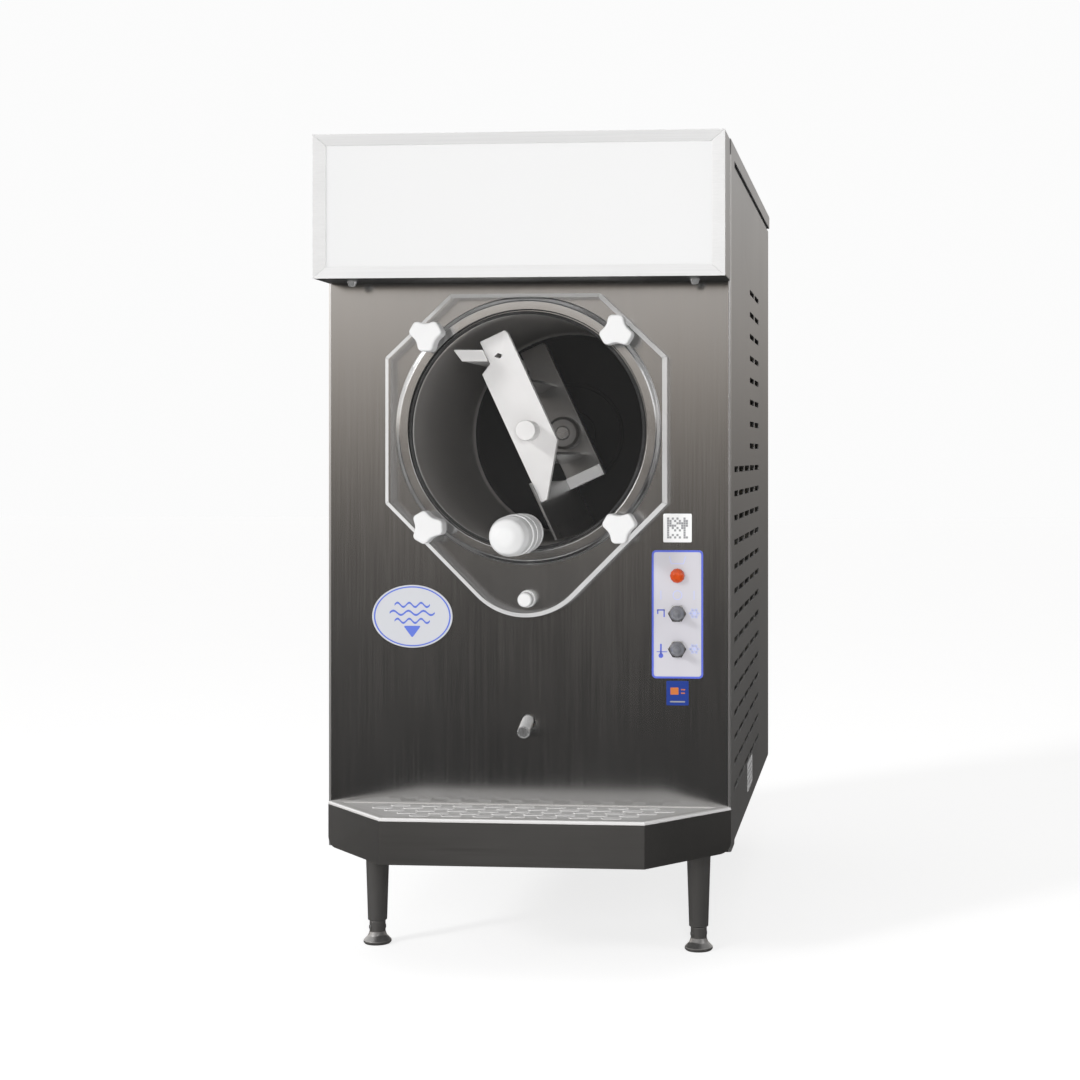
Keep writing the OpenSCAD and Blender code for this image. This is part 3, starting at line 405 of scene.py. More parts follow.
# Near-black steel for the bore's back wall and the drip tube's inside: painted shade deep inside them.
DEEP_SHADE_STEEL = turned_metal("bright_steel", "steel_painted_deep_shade", 0.02, 0.36, warm=0.02, depth=0.02)
BAR_STEEL = turned_metal("bright_steel", "bar_steel", 0.5, 0.32)
TRAY_STEEL = brushed("tray_steel", "tray_steel", 0.42, 0.34, grain="x")
DECK_STEEL = brushed("tray_steel", "deck_steel", 0.5, 0.42, grain="x", metal=0.6)
# Lighter, less metallic copy of the tray steel for lips and rims: a painted highlight along them.
HIGHLIGHT_LIP_STEEL = brushed("tray_steel", "lip_steel_painted_highlight", 0.72, 0.4, grain="x", metal=0.4)
LEG_STEEL = brushed("tray_steel", "leg_steel", 0.42, 0.34, grain="z", metal=0.92)
DARK_METAL = painted("dark_metal", "black_paint", (0.035, 0.035, 0.038))
GREY_METAL = painted("grey_metal", "grey_paint", (0.2, 0.22, 0.25))
MOTOR_PAINT = painted("motor_paint", "motor_paint", (0.05, 0.08, 0.12), 0.38)
ZINC = spangled("galvanised", "galvanised_sheet", 0.6)
COPPER = turned_metal("copper", "copper_tube", 0.6, 0.34, warm=0.3)
FINS = finned("fins", "condenser_fins")
FOAM = foamed("foam", "insulating_foam")
WHITE = moulded("white_plastic", "white_nylon", (0.7, 0.7, 0.7), 0.36, soil=0.01)
# A whiter copy of the dasher's plastic for the end block: painted light, as the block sits in shade inside the
# bore.
BRIGHTENED_END_WHITE = moulded("white_plastic", "end_block_white_painted_light", (0.92, 0.92, 0.91), 0.35, soil=0.01)
CREAM_WHITE = moulded("white_plastic", "dasher_white", (0.68, 0.67, 0.665), 0.4, soil=0.03)
CLEAR = clear_sheet("clear_face", 0.012, 0.5, 0.06)
# Near-white, half-opaque copy of the clear sheet for the door's chamfers: a painted highlight where light catches
# the edges.
CLEAR_EDGE_HIGHLIGHT = clear_sheet("clear_edge_painted_highlight", 0.62, 0.95, 0.2)
LENS = lit_panel("lit_lens", 0.46, 0.3)
LAMP = lit_panel("lamp_tube", 0.9, 2.0)
LAMP.slot = "lamp"
AMBER = glowing("amber", "amber_lens", (0.72, 0.08, 0.005), 0.06)
BLACK_RUBBER = rubber("black_rubber", "black_rubber", (0.02, 0.02, 0.02), 0.45)
GREY_RUBBER = moulded("grey_rubber", "grey_boot", (0.17, 0.175, 0.19), 0.3, coat=0.6)
BLACK_PLASTIC = moulded("black_plastic", "black_nylon", (0.03, 0.03, 0.03), 0.45, 0.2)
FILM = printed("overlay_film", "overlay_film", (0.56, 0.55, 0.59))
BLUE_INK = printed("overlay_film", "blue_ink", (0.1, 0.14, 0.62))
PALE_INK = printed("overlay_film", "pale_blue_ink", (0.5, 0.54, 0.8))
BADGE = printed("badge_film", "badge_film", (0.56, 0.57, 0.6), 0.25)
BADGE_BLUE = printed("badge_film", "badge_blue", (0.12, 0.18, 0.62), 0.25)
PAPER = printed("label_film", "label_film", (0.8, 0.8, 0.8))
PAPER_INK = printed("label_film", "label_ink", (0.28, 0.28, 0.29))
STICKER_BLUE = printed("label_film", "sticker_blue", (0.012, 0.04, 0.25))
STICKER_ORANGE = printed("label_film", "sticker_orange", (0.55, 0.16, 0.04))


def set_stage():
    """A pale floor out to a pale horizon. Steel mirrors a dim room with a bright upper half."""
    floor_finish = Finish("", "floor")
    speckle = floor_finish.noise(3, detail=3)
    floor_finish.feed(Base_Color=floor_finish.mix(speckle, grey(0.43), grey(0.45)))
    floor_finish.shader.inputs["Roughness"].default_value = 0.9
    floor_finish.shader.inputs["Emission Color"].default_value = (1, 1, 1, 1)
    floor_finish.shader.inputs["Emission Strength"].default_value = 0.74
    bm = bmesh.new()
    bmesh.ops.create_grid(bm, x_segments=4, y_segments=4, size=14)
    bmesh.ops.translate(bm, vec=(0, 0, FLOOR_Z), verts=bm.verts[:])
    mesh = bpy.data.meshes.new("floor")
    bm.to_mesh(mesh)
    mesh.materials.append(floor_finish.material)
    floor = bpy.data.objects.new("floor", mesh)
    bpy.context.scene.collection.objects.link(floor)
    floor.visible_glossy = False

    world = bpy.data.worlds.new("room")
    bpy.context.scene.world = world
    world.use_nodes = True
    tree = world.node_tree
    room = tree.nodes["Background"]
    coords = tree.nodes.new("ShaderNodeTexCoord")
    split = tree.nodes.new("ShaderNodeSeparateXYZ")
    tree.links.new(coords.outputs["Generated"], split.inputs[0])
    height = Wire(tree, split.outputs[2])
    aside = Wire(tree, split.outputs[0])
    ahead = Wire(tree, split.outputs[1])
    ramp = tree.nodes.new("ShaderNodeValToRGB")
    stops = ((0.0, 0.03, 0.0), (0.42, 0.035, 0.0), (0.478, 0.06, 0.02), (0.506, 0.2, 0.14), (0.535, 0.62, 0.1),
             (0.57, 0.95, 0.02), (0.7, 0.7, 0.0), (1.0, 0.5, 0.0))
    while len(ramp.color_ramp.elements) < len(stops):
        ramp.color_ramp.elements.new(1)
    for element, (place, level, warm) in zip(ramp.color_ramp.elements, stops):
        element.position = place
        element.color = grey(level, warm)
    tree.links.new((height * 0.5 + 0.5).socket, ramp.inputs[0])
    tree.links.new(ramp.outputs[0], room.inputs["Color"])
    horizon = tree.nodes.new("ShaderNodeBackground")
    horizon.inputs["Color"].default_value = (0.97, 0.97, 0.97, 1)
    path = tree.nodes.new("ShaderNodeLightPath")
    shade = 1 - Wire(tree, path.outputs["Is Diffuse Ray"]) * 0.5
    tree.links.new(((0.86 - aside * 0.5 + ahead * 0.2) * shade).socket, room.inputs["Strength"])
    either = tree.nodes.new("ShaderNodeMixShader")
    tree.links.new(path.outputs["Is Camera Ray"], either.inputs[0])
    tree.links.new(room.outputs[0], either.inputs[1])
    tree.links.new(horizon.outputs[0], either.inputs[2])
    tree.links.new(either.outputs[0], tree.nodes["World Output"].inputs[0])
    bpy.context.scene.view_settings.view_transform = "Standard"


# ---- shaping -----------------------------------------------------------------------------


def facing(x, y, z):
    """Stands a flat shape upright: its outline in x and z, its thickness towards the front."""
    return Matrix.Translation((x, y, z)) @ Matrix.Rotation(pi / 2, 4, "X")


def facing_right(x, y, z):
    """Outline in y and z, thickness towards +x."""
    return Matrix.Translation((x, y, z)) @ Matrix.Rotation(pi / 2, 4, "Z") @ Matrix.Rotation(pi / 2, 4, "X")


def facing_back(x, y, z):
    """Outline in -x and z, thickness towards the back."""
    return Matrix.Translation((x, y, z)) @ Matrix.Rotation(pi, 4, "Z") @ Matrix.Rotation(pi / 2, 4, "X")


def lying(x, y, z):
    """Outline in x and y, thickness upwards."""
    return Matrix.Translation((x, y, z))


def corners(*points, closed=True, steps=6):
    """Points (u, v), or (u, v, radius) where the corner is rounded to an arc."""
    path = []
    for i, point in enumerate(points):
        at = Vector(point[:2])
        ends = not closed and i in (0, len(points) - 1)
        if len(point) < 3 or not point[2] or ends:
            path.append(tuple(at))
            continue
        before = (Vector(points[i - 1][:2]) - at).normalized()
        after = (Vector(points[(i + 1) % len(points)][:2]) - at).normalized()
        half = before.angle(after) / 2
        centre = at + (before + after).normalized() * point[2] / sin(half)
        start = at + before * point[2] / tan(half) - centre
        sweep = start.angle_signed(at + after * point[2] / tan(half) - centre)
        for step in range(steps + 1):
            turn = Matrix.Rotation(-sweep * step / steps, 2)
            path.append(tuple(centre + turn @ start))
    return path


def rectangle(x, y, width, height, radius=0.0, steps=5):
    w, h = width / 2, height / 2
    return corners((x - w, y - h, radius), (x + w, y - h, radius), (x + w, y + h, radius),
                   (x - w, y + h, radius), steps=steps)


def round_hole(x, y, radius, count=48, wide=1.0):
    return [(x + wide * radius * cos(2 * pi * i / count), y + radius * sin(2 * pi * i / count))
            for i in range(count)]


def loop_edges(bm, points, height):
    verts = [bm.verts.new((u, v, height)) for u, v in points]
    return [bm.edges.new(pair) for pair in zip(verts, verts[1:] + verts[:1])]


def slab(bm, outline, depth, place, holes=(), edge=0.0, steps=3, top=0, rim=0):
    """A flat piece of one outline, its upper edge rounded or chamfered, with holes through it."""
    before = set(bm.verts)
    base = bmesh.ops.contextual_create(bm, geom=loop_edges(bm, outline, 0))["faces"]
    made = bmesh.ops.extrude_face_region(bm, geom=base)["geom"]
    upper = [f for f in made if isinstance(f, bmesh.types.BMFace)]
    raised = [v for v in made if isinstance(v, bmesh.types.BMVert)]
    bmesh.ops.translate(bm, vec=(0, 0, depth - edge), verts=raised)
    new = {f for v in bm.verts if v not in before for f in v.link_faces}
    bmesh.ops.recalc_face_normals(bm, faces=list(new))
    for face in new:
        face.material_index = rim
    for step in range(steps if edge else 0):
        a, b = (pi / 2 * s / steps for s in (step, step + 1))
        bmesh.ops.inset_region(bm, faces=upper, use_even_offset=True, use_boundary=True,
                               thickness=edge * (cos(a) - cos(b)), depth=edge * (sin(b) - sin(a)))
    for face in (*upper, *base):
        face.material_index = top
    if holes:
        for faces, height in ((upper, depth), (base, 0)):
            outer = [e for f in faces for e in f.edges]
            bmesh.ops.delete(bm, geom=faces, context="FACES_ONLY")
            inner = [loop_edges(bm, hole, height) for hole in holes]
            edges = outer + [e for ring in inner for e in ring]
            filled = bmesh.ops.triangle_fill(bm, use_beauty=True, edges=edges)["geom"]
            for face in filled:
                if isinstance(face, bmesh.types.BMFace):
                    face.material_index = top
            if height:
                rings = inner
        for high_ring, low_ring in zip(rings, inner):
            wall = bmesh.ops.bridge_loops(bm, edges=high_ring + low_ring)["faces"]
            for face in wall:
                face.material_index = rim
    new = [v for v in bm.verts if v not in before]
    bmesh.ops.recalc_face_normals(bm, faces=list({f for v in new for f in v.link_faces}))
    bmesh.ops.transform(bm, matrix=place, verts=new)


def turned(bm, profile, place, steps=72, closed=False, material=0):
    """A profile of (radius, height) spun about the height, its poles closed."""
    verts = [bm.verts.new((r, 0, h)) for r, h in profile]
    edges = [bm.edges.new(pair) for pair in zip(verts, verts[1:])]
    if closed:
        edges.append(bm.edges.new((verts[-1], verts[0])))
    before = set(bm.verts) - set(verts)
    bmesh.ops.spin(bm, geom=verts + edges, cent=(0, 0, 0), axis=(0, 0, 1), dvec=(0, 0, 0), angle=2 * pi,
                   steps=steps, use_merge=True)
    new = [v for v in bm.verts if v not in before]
    bmesh.ops.remove_doubles(bm, verts=new, dist=1e-6)
    new = [v for v in bm.verts if v not in before]
    faces = list({f for v in new for f in v.link_faces})
    bmesh.ops.recalc_face_normals(bm, faces=faces)
    for face in faces:
        face.material_index = material
    bmesh.ops.transform(bm, matrix=place, verts=new)


def swept(bm, path, radius, sides=32):
    """A round wall that follows a path of (y, z) points, and its two end rings of edges."""
    points = [Vector((0, y, z)) for y, z in path]
    frames = []
    for i, point in enumerate(points):
        heading = points[min(i + 1, len(points) - 1)] - points[max(i - 1, 0)]
        tilt = heading.to_track_quat("Z", "X").to_matrix().to_4x4()
        frames.append(Matrix.Translation(point) @ tilt)
    ring = bmesh.ops.create_circle(bm, segments=sides, radius=radius, matrix=frames[0])["verts"]
    edges = list({e for v in ring for e in v.link_edges})
    first = edges
    for last, this in zip(frames, frames[1:]):
        made = bmesh.ops.extrude_edge_only(bm, edges=edges)["geom"]
        ring = [v for v in made if isinstance(v, bmesh.types.BMVert)]
        edges = [e for e in made if isinstance(e, bmesh.types.BMEdge)]
        bmesh.ops.transform(bm, matrix=this @ last.inverted(), verts=ring)
        edges = [e for e in edges if all(v in ring for v in e.verts)]
    return first, edges


def piece(name, bm, finishes, body="cabinet", stands_for=(), smooth=34):
    """Makes a finished piece of a shape: its finishes, its body and the frame nodes it stands for."""
    mesh = bpy.data.meshes.new(name)
    bm.to_mesh(mesh)
    bm.free()
    mesh.shade_smooth()
    mesh.set_sharp_from_angle(angle=radians(smooth))
    for finish in finishes:
        mesh.materials.append(finish.material)
    made = bpy.data.objects.new(name, mesh)
    bpy.context.scene.collection.objects.link(made)
    even = made.modifiers.new("even_shading", "WEIGHTED_NORMAL")
    even.keep_sharp = True
    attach(made, body)
    if stands_for:
        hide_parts(*stands_for)
    return made


def dress(finish, *nodes):
    """Gives frame nodes that stay in sight their finish."""
    for node in nodes:
        mesh = frame["nodes"][node].data
        mesh.materials.clear()
        mesh.materials.append(finish.material)


# ---- cabinet -----------------------------------------------------------------------------

FLANGE_Z = high("right_side_panel").z + 0.004
COVER_Z = TOP_Z - SHEET
RETURN_D = 0.045


def front_sheet():
    """The front panel: a flat face with its openings and two folded sides."""
    bm = bmesh.new()
    bend = 0.0028
    tube = middle("drip_tube")
    tube_z = BASE_Z + 0.127
    lamps = [middle("indicator_lamp").z, middle("upper_toggle").z, middle("lower_toggle").z]
    holes = [round_hole(0, AXIS_Z, 0.1185, 96), round_hole(tube.x, tube_z, 0.00735, 24)]
    holes += [round_hole(CONTROL_X, z, 0.0063, 24) for z in lamps]
    outline = [(-HALF_W + bend, BASE_Z), (HALF_W - bend, BASE_Z), (HALF_W - bend, COVER_Z),
               (-HALF_W + bend, COVER_Z)]
    slab(bm, outline, SHEET, facing(0, PANEL_Y + SHEET, 0), holes)
    for side in (-1, 1):
        fold = corners((side * (HALF_W - bend), PANEL_Y), (side * HALF_W, PANEL_Y, bend),
                       (side * HALF_W, PANEL_Y + RETURN_D), (side * (HALF_W - SHEET), PANEL_Y + RETURN_D),
                       (side * (HALF_W - SHEET), PANEL_Y + SHEET, bend - SHEET),
                       (side * (HALF_W - bend), PANEL_Y + SHEET))
        slab(bm, fold, FLANGE_Z - BASE_Z, lying(0, 0, BASE_Z), top=1, rim=1)
    # The rounded folds take the lighter fold steel: a painted highlight down each side edge.
    for face in bm.faces:
        if face.material_index and abs(face.normal.x * face.normal.y) > 0.1:
            face.material_index = 2
    piece("front_sheet", bm, [STEEL, SKIN_STEEL, FOLD_HIGHLIGHT_STEEL], stands_for=["front_panel"])


def cover():
    """The top cover: a sheet with a folded flange on three sides and the hopper's opening."""
    bm = bmesh.new()
    lo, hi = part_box("hopper")
    rim = 0.01
    opening = rectangle(0, (lo.y + hi.y) / 2, hi.x * 2 - 2 * rim + 0.0006, hi.y - lo.y - 2 * rim + 0.0006)
    outline = rectangle(0, (PANEL_Y + REAR_Y) / 2, 2 * HALF_W, REAR_Y - PANEL_Y, 0.001, 2)
    slab(bm, outline, SHEET, lying(0, 0, COVER_Z), [opening], edge=0.0011)
    flange = TOP_Z - FLANGE_Z - SHEET
    for side in (-1, 1):
        strip = rectangle(side * (HALF_W - SHEET / 2), (PANEL_Y + SHEET + REAR_Y) / 2, SHEET,
                          REAR_Y - PANEL_Y - SHEET, 0.0005, 2)
        slab(bm, strip, flange, lying(0, 0, FLANGE_Z), top=1, rim=1)
    back = rectangle(0, REAR_Y - SHEET / 2, 2 * (HALF_W - SHEET), SHEET)
    slab(bm, back, flange, lying(0, 0, FLANGE_Z), top=1, rim=1)
    piece("cover_sheet", bm, [COVER_STEEL, SKIN_STEEL], stands_for=["top_cover"])


def rear_screws():
    """Six domed screws with a cross recess."""
    bm = bmesh.new()
    lo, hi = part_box("panel_screws")
    radius = 0.0045
    head = corners((radius, 0), (radius, 0.0007, 0.0004), (0.0024, 0.0012, 0.002), (0.0018, 0.0012),
                   (0.0016, 0.0006), (0, 0.0004), closed=False, steps=3)
    cross = rectangle(0, 0, 0.0038, 0.0009, 0.0003, 2)
    for x in (lo.x + radius, 0, hi.x - radius):
        for z in (lo.z + radius, hi.z - radius):
            turned(bm, head, facing_back(x, lo.y, z), 28)
            for turn in (0.4, 0.4 + pi / 2):
                slab(bm, cross, 0.0002, facing_back(x, lo.y + 0.001, z) @ Matrix.Rotation(turn, 4, "Z"),
                     top=1, rim=1)
    piece("rear_screw_heads", bm, [BRIGHT, DARK_METAL], stands_for=["panel_screws"])


def leg_set():
    """Four tapered legs with a ground bottom edge."""
    bm = bmesh.new()
    lo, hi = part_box("legs")
    for foot in FEET:
        at = middle(foot)
        profile = corners((0.0052, 0.0243), (0.0098, 0.0243, 0.0008), (0.0106, 0.05, 0.02),
                          (0.0125, BASE_Z - 0.002, 0.001), (0.0118, BASE_Z), (0, BASE_Z),
                          closed=False, steps=4)
        turned(bm, profile, lying(at.x, at.y, 0), 56)
        stud = [(0.0039, BASE_Z), (0.0039, hi.z), (0, hi.z)]
        turned(bm, stud, lying(at.x, at.y, 0), 20)
        nut = round_hole(0, 0, 0.0075, 6)
        slab(bm, nut, 0.006, lying(at.x, at.y, BASE_Z + SHEET), edge=0.0006, steps=2)
    piece("leg_tubes", bm, [LEG_STEEL], stands_for=["legs"])


FEET = {"foot_front_left": "foot_fl", "foot_front_right": "foot_fr", "foot_rear_left": "foot_rl",
        "foot_rear_right": "foot_rr"}


def screw_feet():
    """Flared screw feet, each turning in its leg."""
    profile = corners((0, 0), (0.0128, 0, 0.001), (0.0143, 0.0016, 0.001), (0.0143, 0.0036, 0.0012),
                      (0.0096, 0.0085, 0.004), (0.0082, 0.0125, 0.003), (0.0082, 0.0238, 0.0006),
                      (0.005, 0.024), (0.005, 0.063, 0.0008), (0, 0.064), closed=False, steps=4)
    for node, body in FEET.items():
        bm = bmesh.new()
        at = middle(node)
        turned(bm, profile, lying(at.x, at.y, 0), 56)
        flat = rectangle(0, 0, 0.006, 0.004, 0.001, 3)
        for turn in (0, pi):
            place = lying(at.x, at.y, 0.017) @ Matrix.Rotation(turn + 0.6, 4, "Z")
            slab(bm, flat, 0.0003, place @ facing_right(0.0080, 0, 0), edge=0.0002, steps=1)
        piece(body + "_turned", bm, [LEG_STEEL], body=body, stands_for=[node])


# ---- header ------------------------------------------------------------------------------


def header():
    """The lit header: a folded box, four mitred frame strips, the lens and two cap nuts."""
    lo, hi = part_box("header_box")
    centre = middle("header_box")
    wide, tall = hi.x - lo.x, hi.z - lo.z
    side, band = 0.013, 0.011
    slope = 0.0016
    bm = bmesh.new()
    outer = rectangle(0, centre.z, wide, tall, 0.0012, 3)
    inner = rectangle(0, centre.z, wide - 2 * SHEET, tall - 2 * SHEET)
    slab(bm, outer, PANEL_Y - lo.y - 0.002, facing(0, PANEL_Y, 0), [inner])
    frame_verts = set(bm.verts)
    x0, x1 = lo.x, lo.x + side
    z0, z1 = lo.z, lo.z + band
    z2, z3 = hi.z - band, hi.z
    for strip in (
        [(x0, z0), (-x0, z0), (-x1, z1), (x1, z1)],
        [(x0, z3), (x1, z2), (-x1, z2), (-x0, z3)],
        [(x0, z0), (x1, z1), (x1, z2), (x0, z3)],
        [(-x0, z0), (-x0, z3), (-x1, z2), (-x1, z1)],
    ):
        slab(bm, strip, 0.0014, facing(0, lo.y + 0.0014, 0), edge=0.00045, steps=2, top=1, rim=1)
    for vert in bm.verts:
        if vert not in frame_verts:
            across = min((wide / 2 - abs(vert.co.x)) / side, (tall / 2 - abs(vert.co.z - centre.z)) / band)
            vert.co.y += slope * max(0, min(1, across))
    piece("header_frame", bm, [SKIN_STEEL, FRAME_STEEL], stands_for=["header_box"])

    bm = bmesh.new()
    lo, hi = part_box("header_lens")
    pane = rectangle(0, centre.z, hi.x - lo.x, hi.z - lo.z, 0.002, 3)
    slab(bm, pane, hi.y - lo.y, facing(0, hi.y, 0), edge=0.0006, steps=2)
    piece("header_pane", bm, [LENS], stands_for=["header_lens"])

    bm = bmesh.new()
    lo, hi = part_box("header_lamp")
    end = 0.012
    for x in (lo.x, hi.x - end):
        holder = rectangle(PANEL_Y - 0.017, centre.z, 0.034, 0.028, 0.004, 4)
        slab(bm, holder, end, facing_right(x, 0, 0), edge=0.0008, steps=2)
    tube = corners((0, lo.x + end), (0.008, lo.x + end, 0.002), (0.008, hi.x - end, 0.002),
                   (0, hi.x - end), closed=False)
    turned(bm, tube, Matrix.Translation((0, PANEL_Y - 0.024, centre.z)) @ Matrix.Rotation(pi / 2, 4, "Y"),
           32, material=1)
    piece("header_lamp_tube", bm, [WHITE, LAMP], stands_for=["header_lamp"])

    bm = bmesh.new()
    lo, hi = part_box("header_nuts")
    nut = corners((0, -0.006), (0.0032, -0.0058, 0.0015), (0.0042, -0.0028, 0.002), (0.005, -0.0012, 0.0004),
                  (0.005, 0), (0.0024, 0), (0.0024, 0.006), (0, 0.006), closed=False, steps=3)
    for x in (lo.x + 0.005, hi.x - 0.005):
        turned(bm, nut, lying(x, (lo.y + hi.y) / 2, lo.z + 0.006), 32)
    piece("header_cap_nuts", bm, [NICKEL], stands_for=["header_nuts"])


# ---- freezing cylinder and its door ------------------------------------------------------------

RING_R = high("cylinder_flange").x
BORE_R = RING_R - 0.017
SHELL_R = BORE_R + 0.002
STUD_AT = middle("knob_upper_right").x
PEG_Z = middle("locating_peg").z


def mouth_ring():
    """The ring welded round the mouth, stepped for the seal and chamfered outside."""
    bm = bmesh.new()
    profile = corners((SHELL_R, 0), (RING_R, 0), (RING_R, 0.003, 0.0006), (RING_R - 0.0032, 0.0046, 0.0012),
                      (RING_R - 0.0042, 0.006, 0.0008), (SHELL_R + 0.0023, 0.006, 0.0008),
                      (SHELL_R + 0.00175, 0.0018), (SHELL_R, 0.0018), steps=4)
    turned(bm, profile, facing(0, PANEL_Y, AXIS_Z), 128, closed=True)
    weld = [(RING_R - 0.0002 + 0.0014 * cos(a), 0.0014 * sin(a)) for a in (0, 0.5, 1.05, 1.57)]
    turned(bm, [(RING_R - 0.001, 0), *weld, (RING_R - 0.001, 0.001)], facing(0, PANEL_Y, AXIS_Z), 128,
           closed=True, material=1)
    piece("mouth_ring", bm, [RING_STEEL, BAR_STEEL], stands_for=["cylinder_flange"])


def lining():
    """The freezing cylinder: a mouth lip in lighter steel as a painted highlight, the bore, and a near-black back
    wall with a machined step, its darkness painted shade.
    """
    bm = bmesh.new()
    hi = high("freezing_cylinder")
    front = -(low("freezing_cylinder").y - PANEL_Y)
    back = -(hi.y - PANEL_Y)
    wall = back + 0.004
    bore = corners((SHELL_R, front), (BORE_R + 0.0017, front, 0.0003), (BORE_R, front - 0.0022, 0.0005),
                   (BORE_R, wall, 0.007),
                   (0.058, wall), (0.057, wall + 0.0012, 0.0005), (0.0545, wall + 0.0012, 0.0005),
                   (0.0535, wall), (0.026, wall), (0.025, wall + 0.0015, 0.0005), (0.014, wall + 0.0015),
                   (0.014, back), (SHELL_R, back), steps=5)
    turned(bm, bore, facing(0, PANEL_Y, AXIS_Z), 128, closed=True)
    # The mouth lip takes the lighter lip steel, a painted highlight; the back wall takes the near-black steel,
    # painted shade.
    for face in bm.faces:
        at = face.calc_center_median()
        if at.y < 0.0024 - front + PANEL_Y:
            face.material_index = 1
        elif at.y > PANEL_Y - wall - 0.002:
            face.material_index = 2
    piece("cylinder_lining", bm, [BORE_STEEL, HIGHLIGHT_LIP_STEEL, DEEP_SHADE_STEEL], stands_for=["freezing_cylinder"])


def door():
    """The clear door, its chamfers near-white as a painted highlight, and the round seal behind it."""
    bm = bmesh.new()
    half, shoulder = high("faceplate").x, 0.0727
    top = high("faceplate").z - AXIS_Z
    top_half, lobe = 0.075, 0.069
    lobe_z = low("faceplate").z - AXIS_Z + lobe
    turn = lobe / 2 ** 0.5
    bottom = [(lobe * sin(a), lobe_z - lobe * cos(a)) for a in (radians(45 - 90 * i / 24) for i in range(25))]
    rest = corners((-turn, lobe_z - turn), (-half, -shoulder, 0.002), (-half, shoulder, 0.002),
                   (-top_half, top, 0.002), (top_half, top, 0.002), (half, shoulder, 0.002),
                   (half, -shoulder, 0.002), (turn, lobe_z - turn), steps=3)
    outline = bottom + rest[1:-1]
    thick = PLATE_BACK - PLATE_FRONT
    holes = [round_hole(sx * STUD_AT, sz * STUD_AT, 0.0046, 24) for sx in (-1, 1) for sz in (-1, 1)]
    holes.append(round_hole(0, PEG_Z - AXIS_Z, 0.0073, 32))
    holes.append(round_hole(0, VALVE_Z - AXIS_Z, 0.0112, 32))
    # The chamfers take the near-white edge copy: a painted highlight round the door's edges.
    slab(bm, outline, thick, facing(0, PLATE_BACK, AXIS_Z), holes, edge=0.0042, steps=1, rim=1)
    piece("clear_door", bm, [CLEAR, CLEAR_EDGE_HIGHLIGHT], body="front_plate", stands_for=["faceplate"], smooth=20)

    bm = bmesh.new()
    lo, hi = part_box("face_o_ring")
    thin, thick = 0.0017, (hi.y - lo.y) / 2
    section = [(u, v * thick / thin) for u, v in round_hole(hi.x - 0.0004 - thin, 0, thin, 16)]
    turned(bm, section, facing(0, (lo.y + hi.y) / 2, AXIS_Z), 128, closed=True)
    piece("door_seal", bm, [BLACK_RUBBER], body=body_of("face_o_ring"), stands_for=["face_o_ring"])


def body_of(node):
    return frame["nodes"][node]["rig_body"]


KNOBS = {"knob_upper_left": ("knob_ul", 30), "knob_upper_right": ("knob_ur", 90),
         "knob_lower_left": ("knob_ll", 0), "knob_lower_right": ("knob_lr", 30)}


def hand_knobs():
    """Four moulded knobs: three blunt lobes on a short hub."""
    reach, blunt, waist = 0.016, 0.0068, 0.0108
    points = []
    for lobe in range(3):
        turn = Matrix.Rotation(lobe * 2 * pi / 3, 2)
        for u, v, r in ((reach, -blunt, 0.0046), (reach, blunt, 0.0046)):
            points.append((*(turn @ Vector((u, v))), r))
        points.append((*(turn @ Vector((waist * 0.5, waist * 0.866))), 0.012))
    outline = corners(*points, steps=5)
    for node, (body, turn) in KNOBS.items():
        bm = bmesh.new()
        at = middle(node)
        back = high(node).y
        head = facing(at.x, back - 0.005, at.z) @ Matrix.Rotation(radians(turn), 4, "Z")
        slab(bm, outline, back - 0.005 - low(node).y, head, edge=0.0022, steps=4)
        hub = corners((0.0046, 0), (0.009, 0, 0.0006), (0.0095, 0.0052), (0.0046, 0.0052), steps=3)
        turned(bm, hub, facing(at.x, back, at.z), 40, closed=True)
        piece(body + "_moulding", bm, [WHITE], body=body, stands_for=[node])


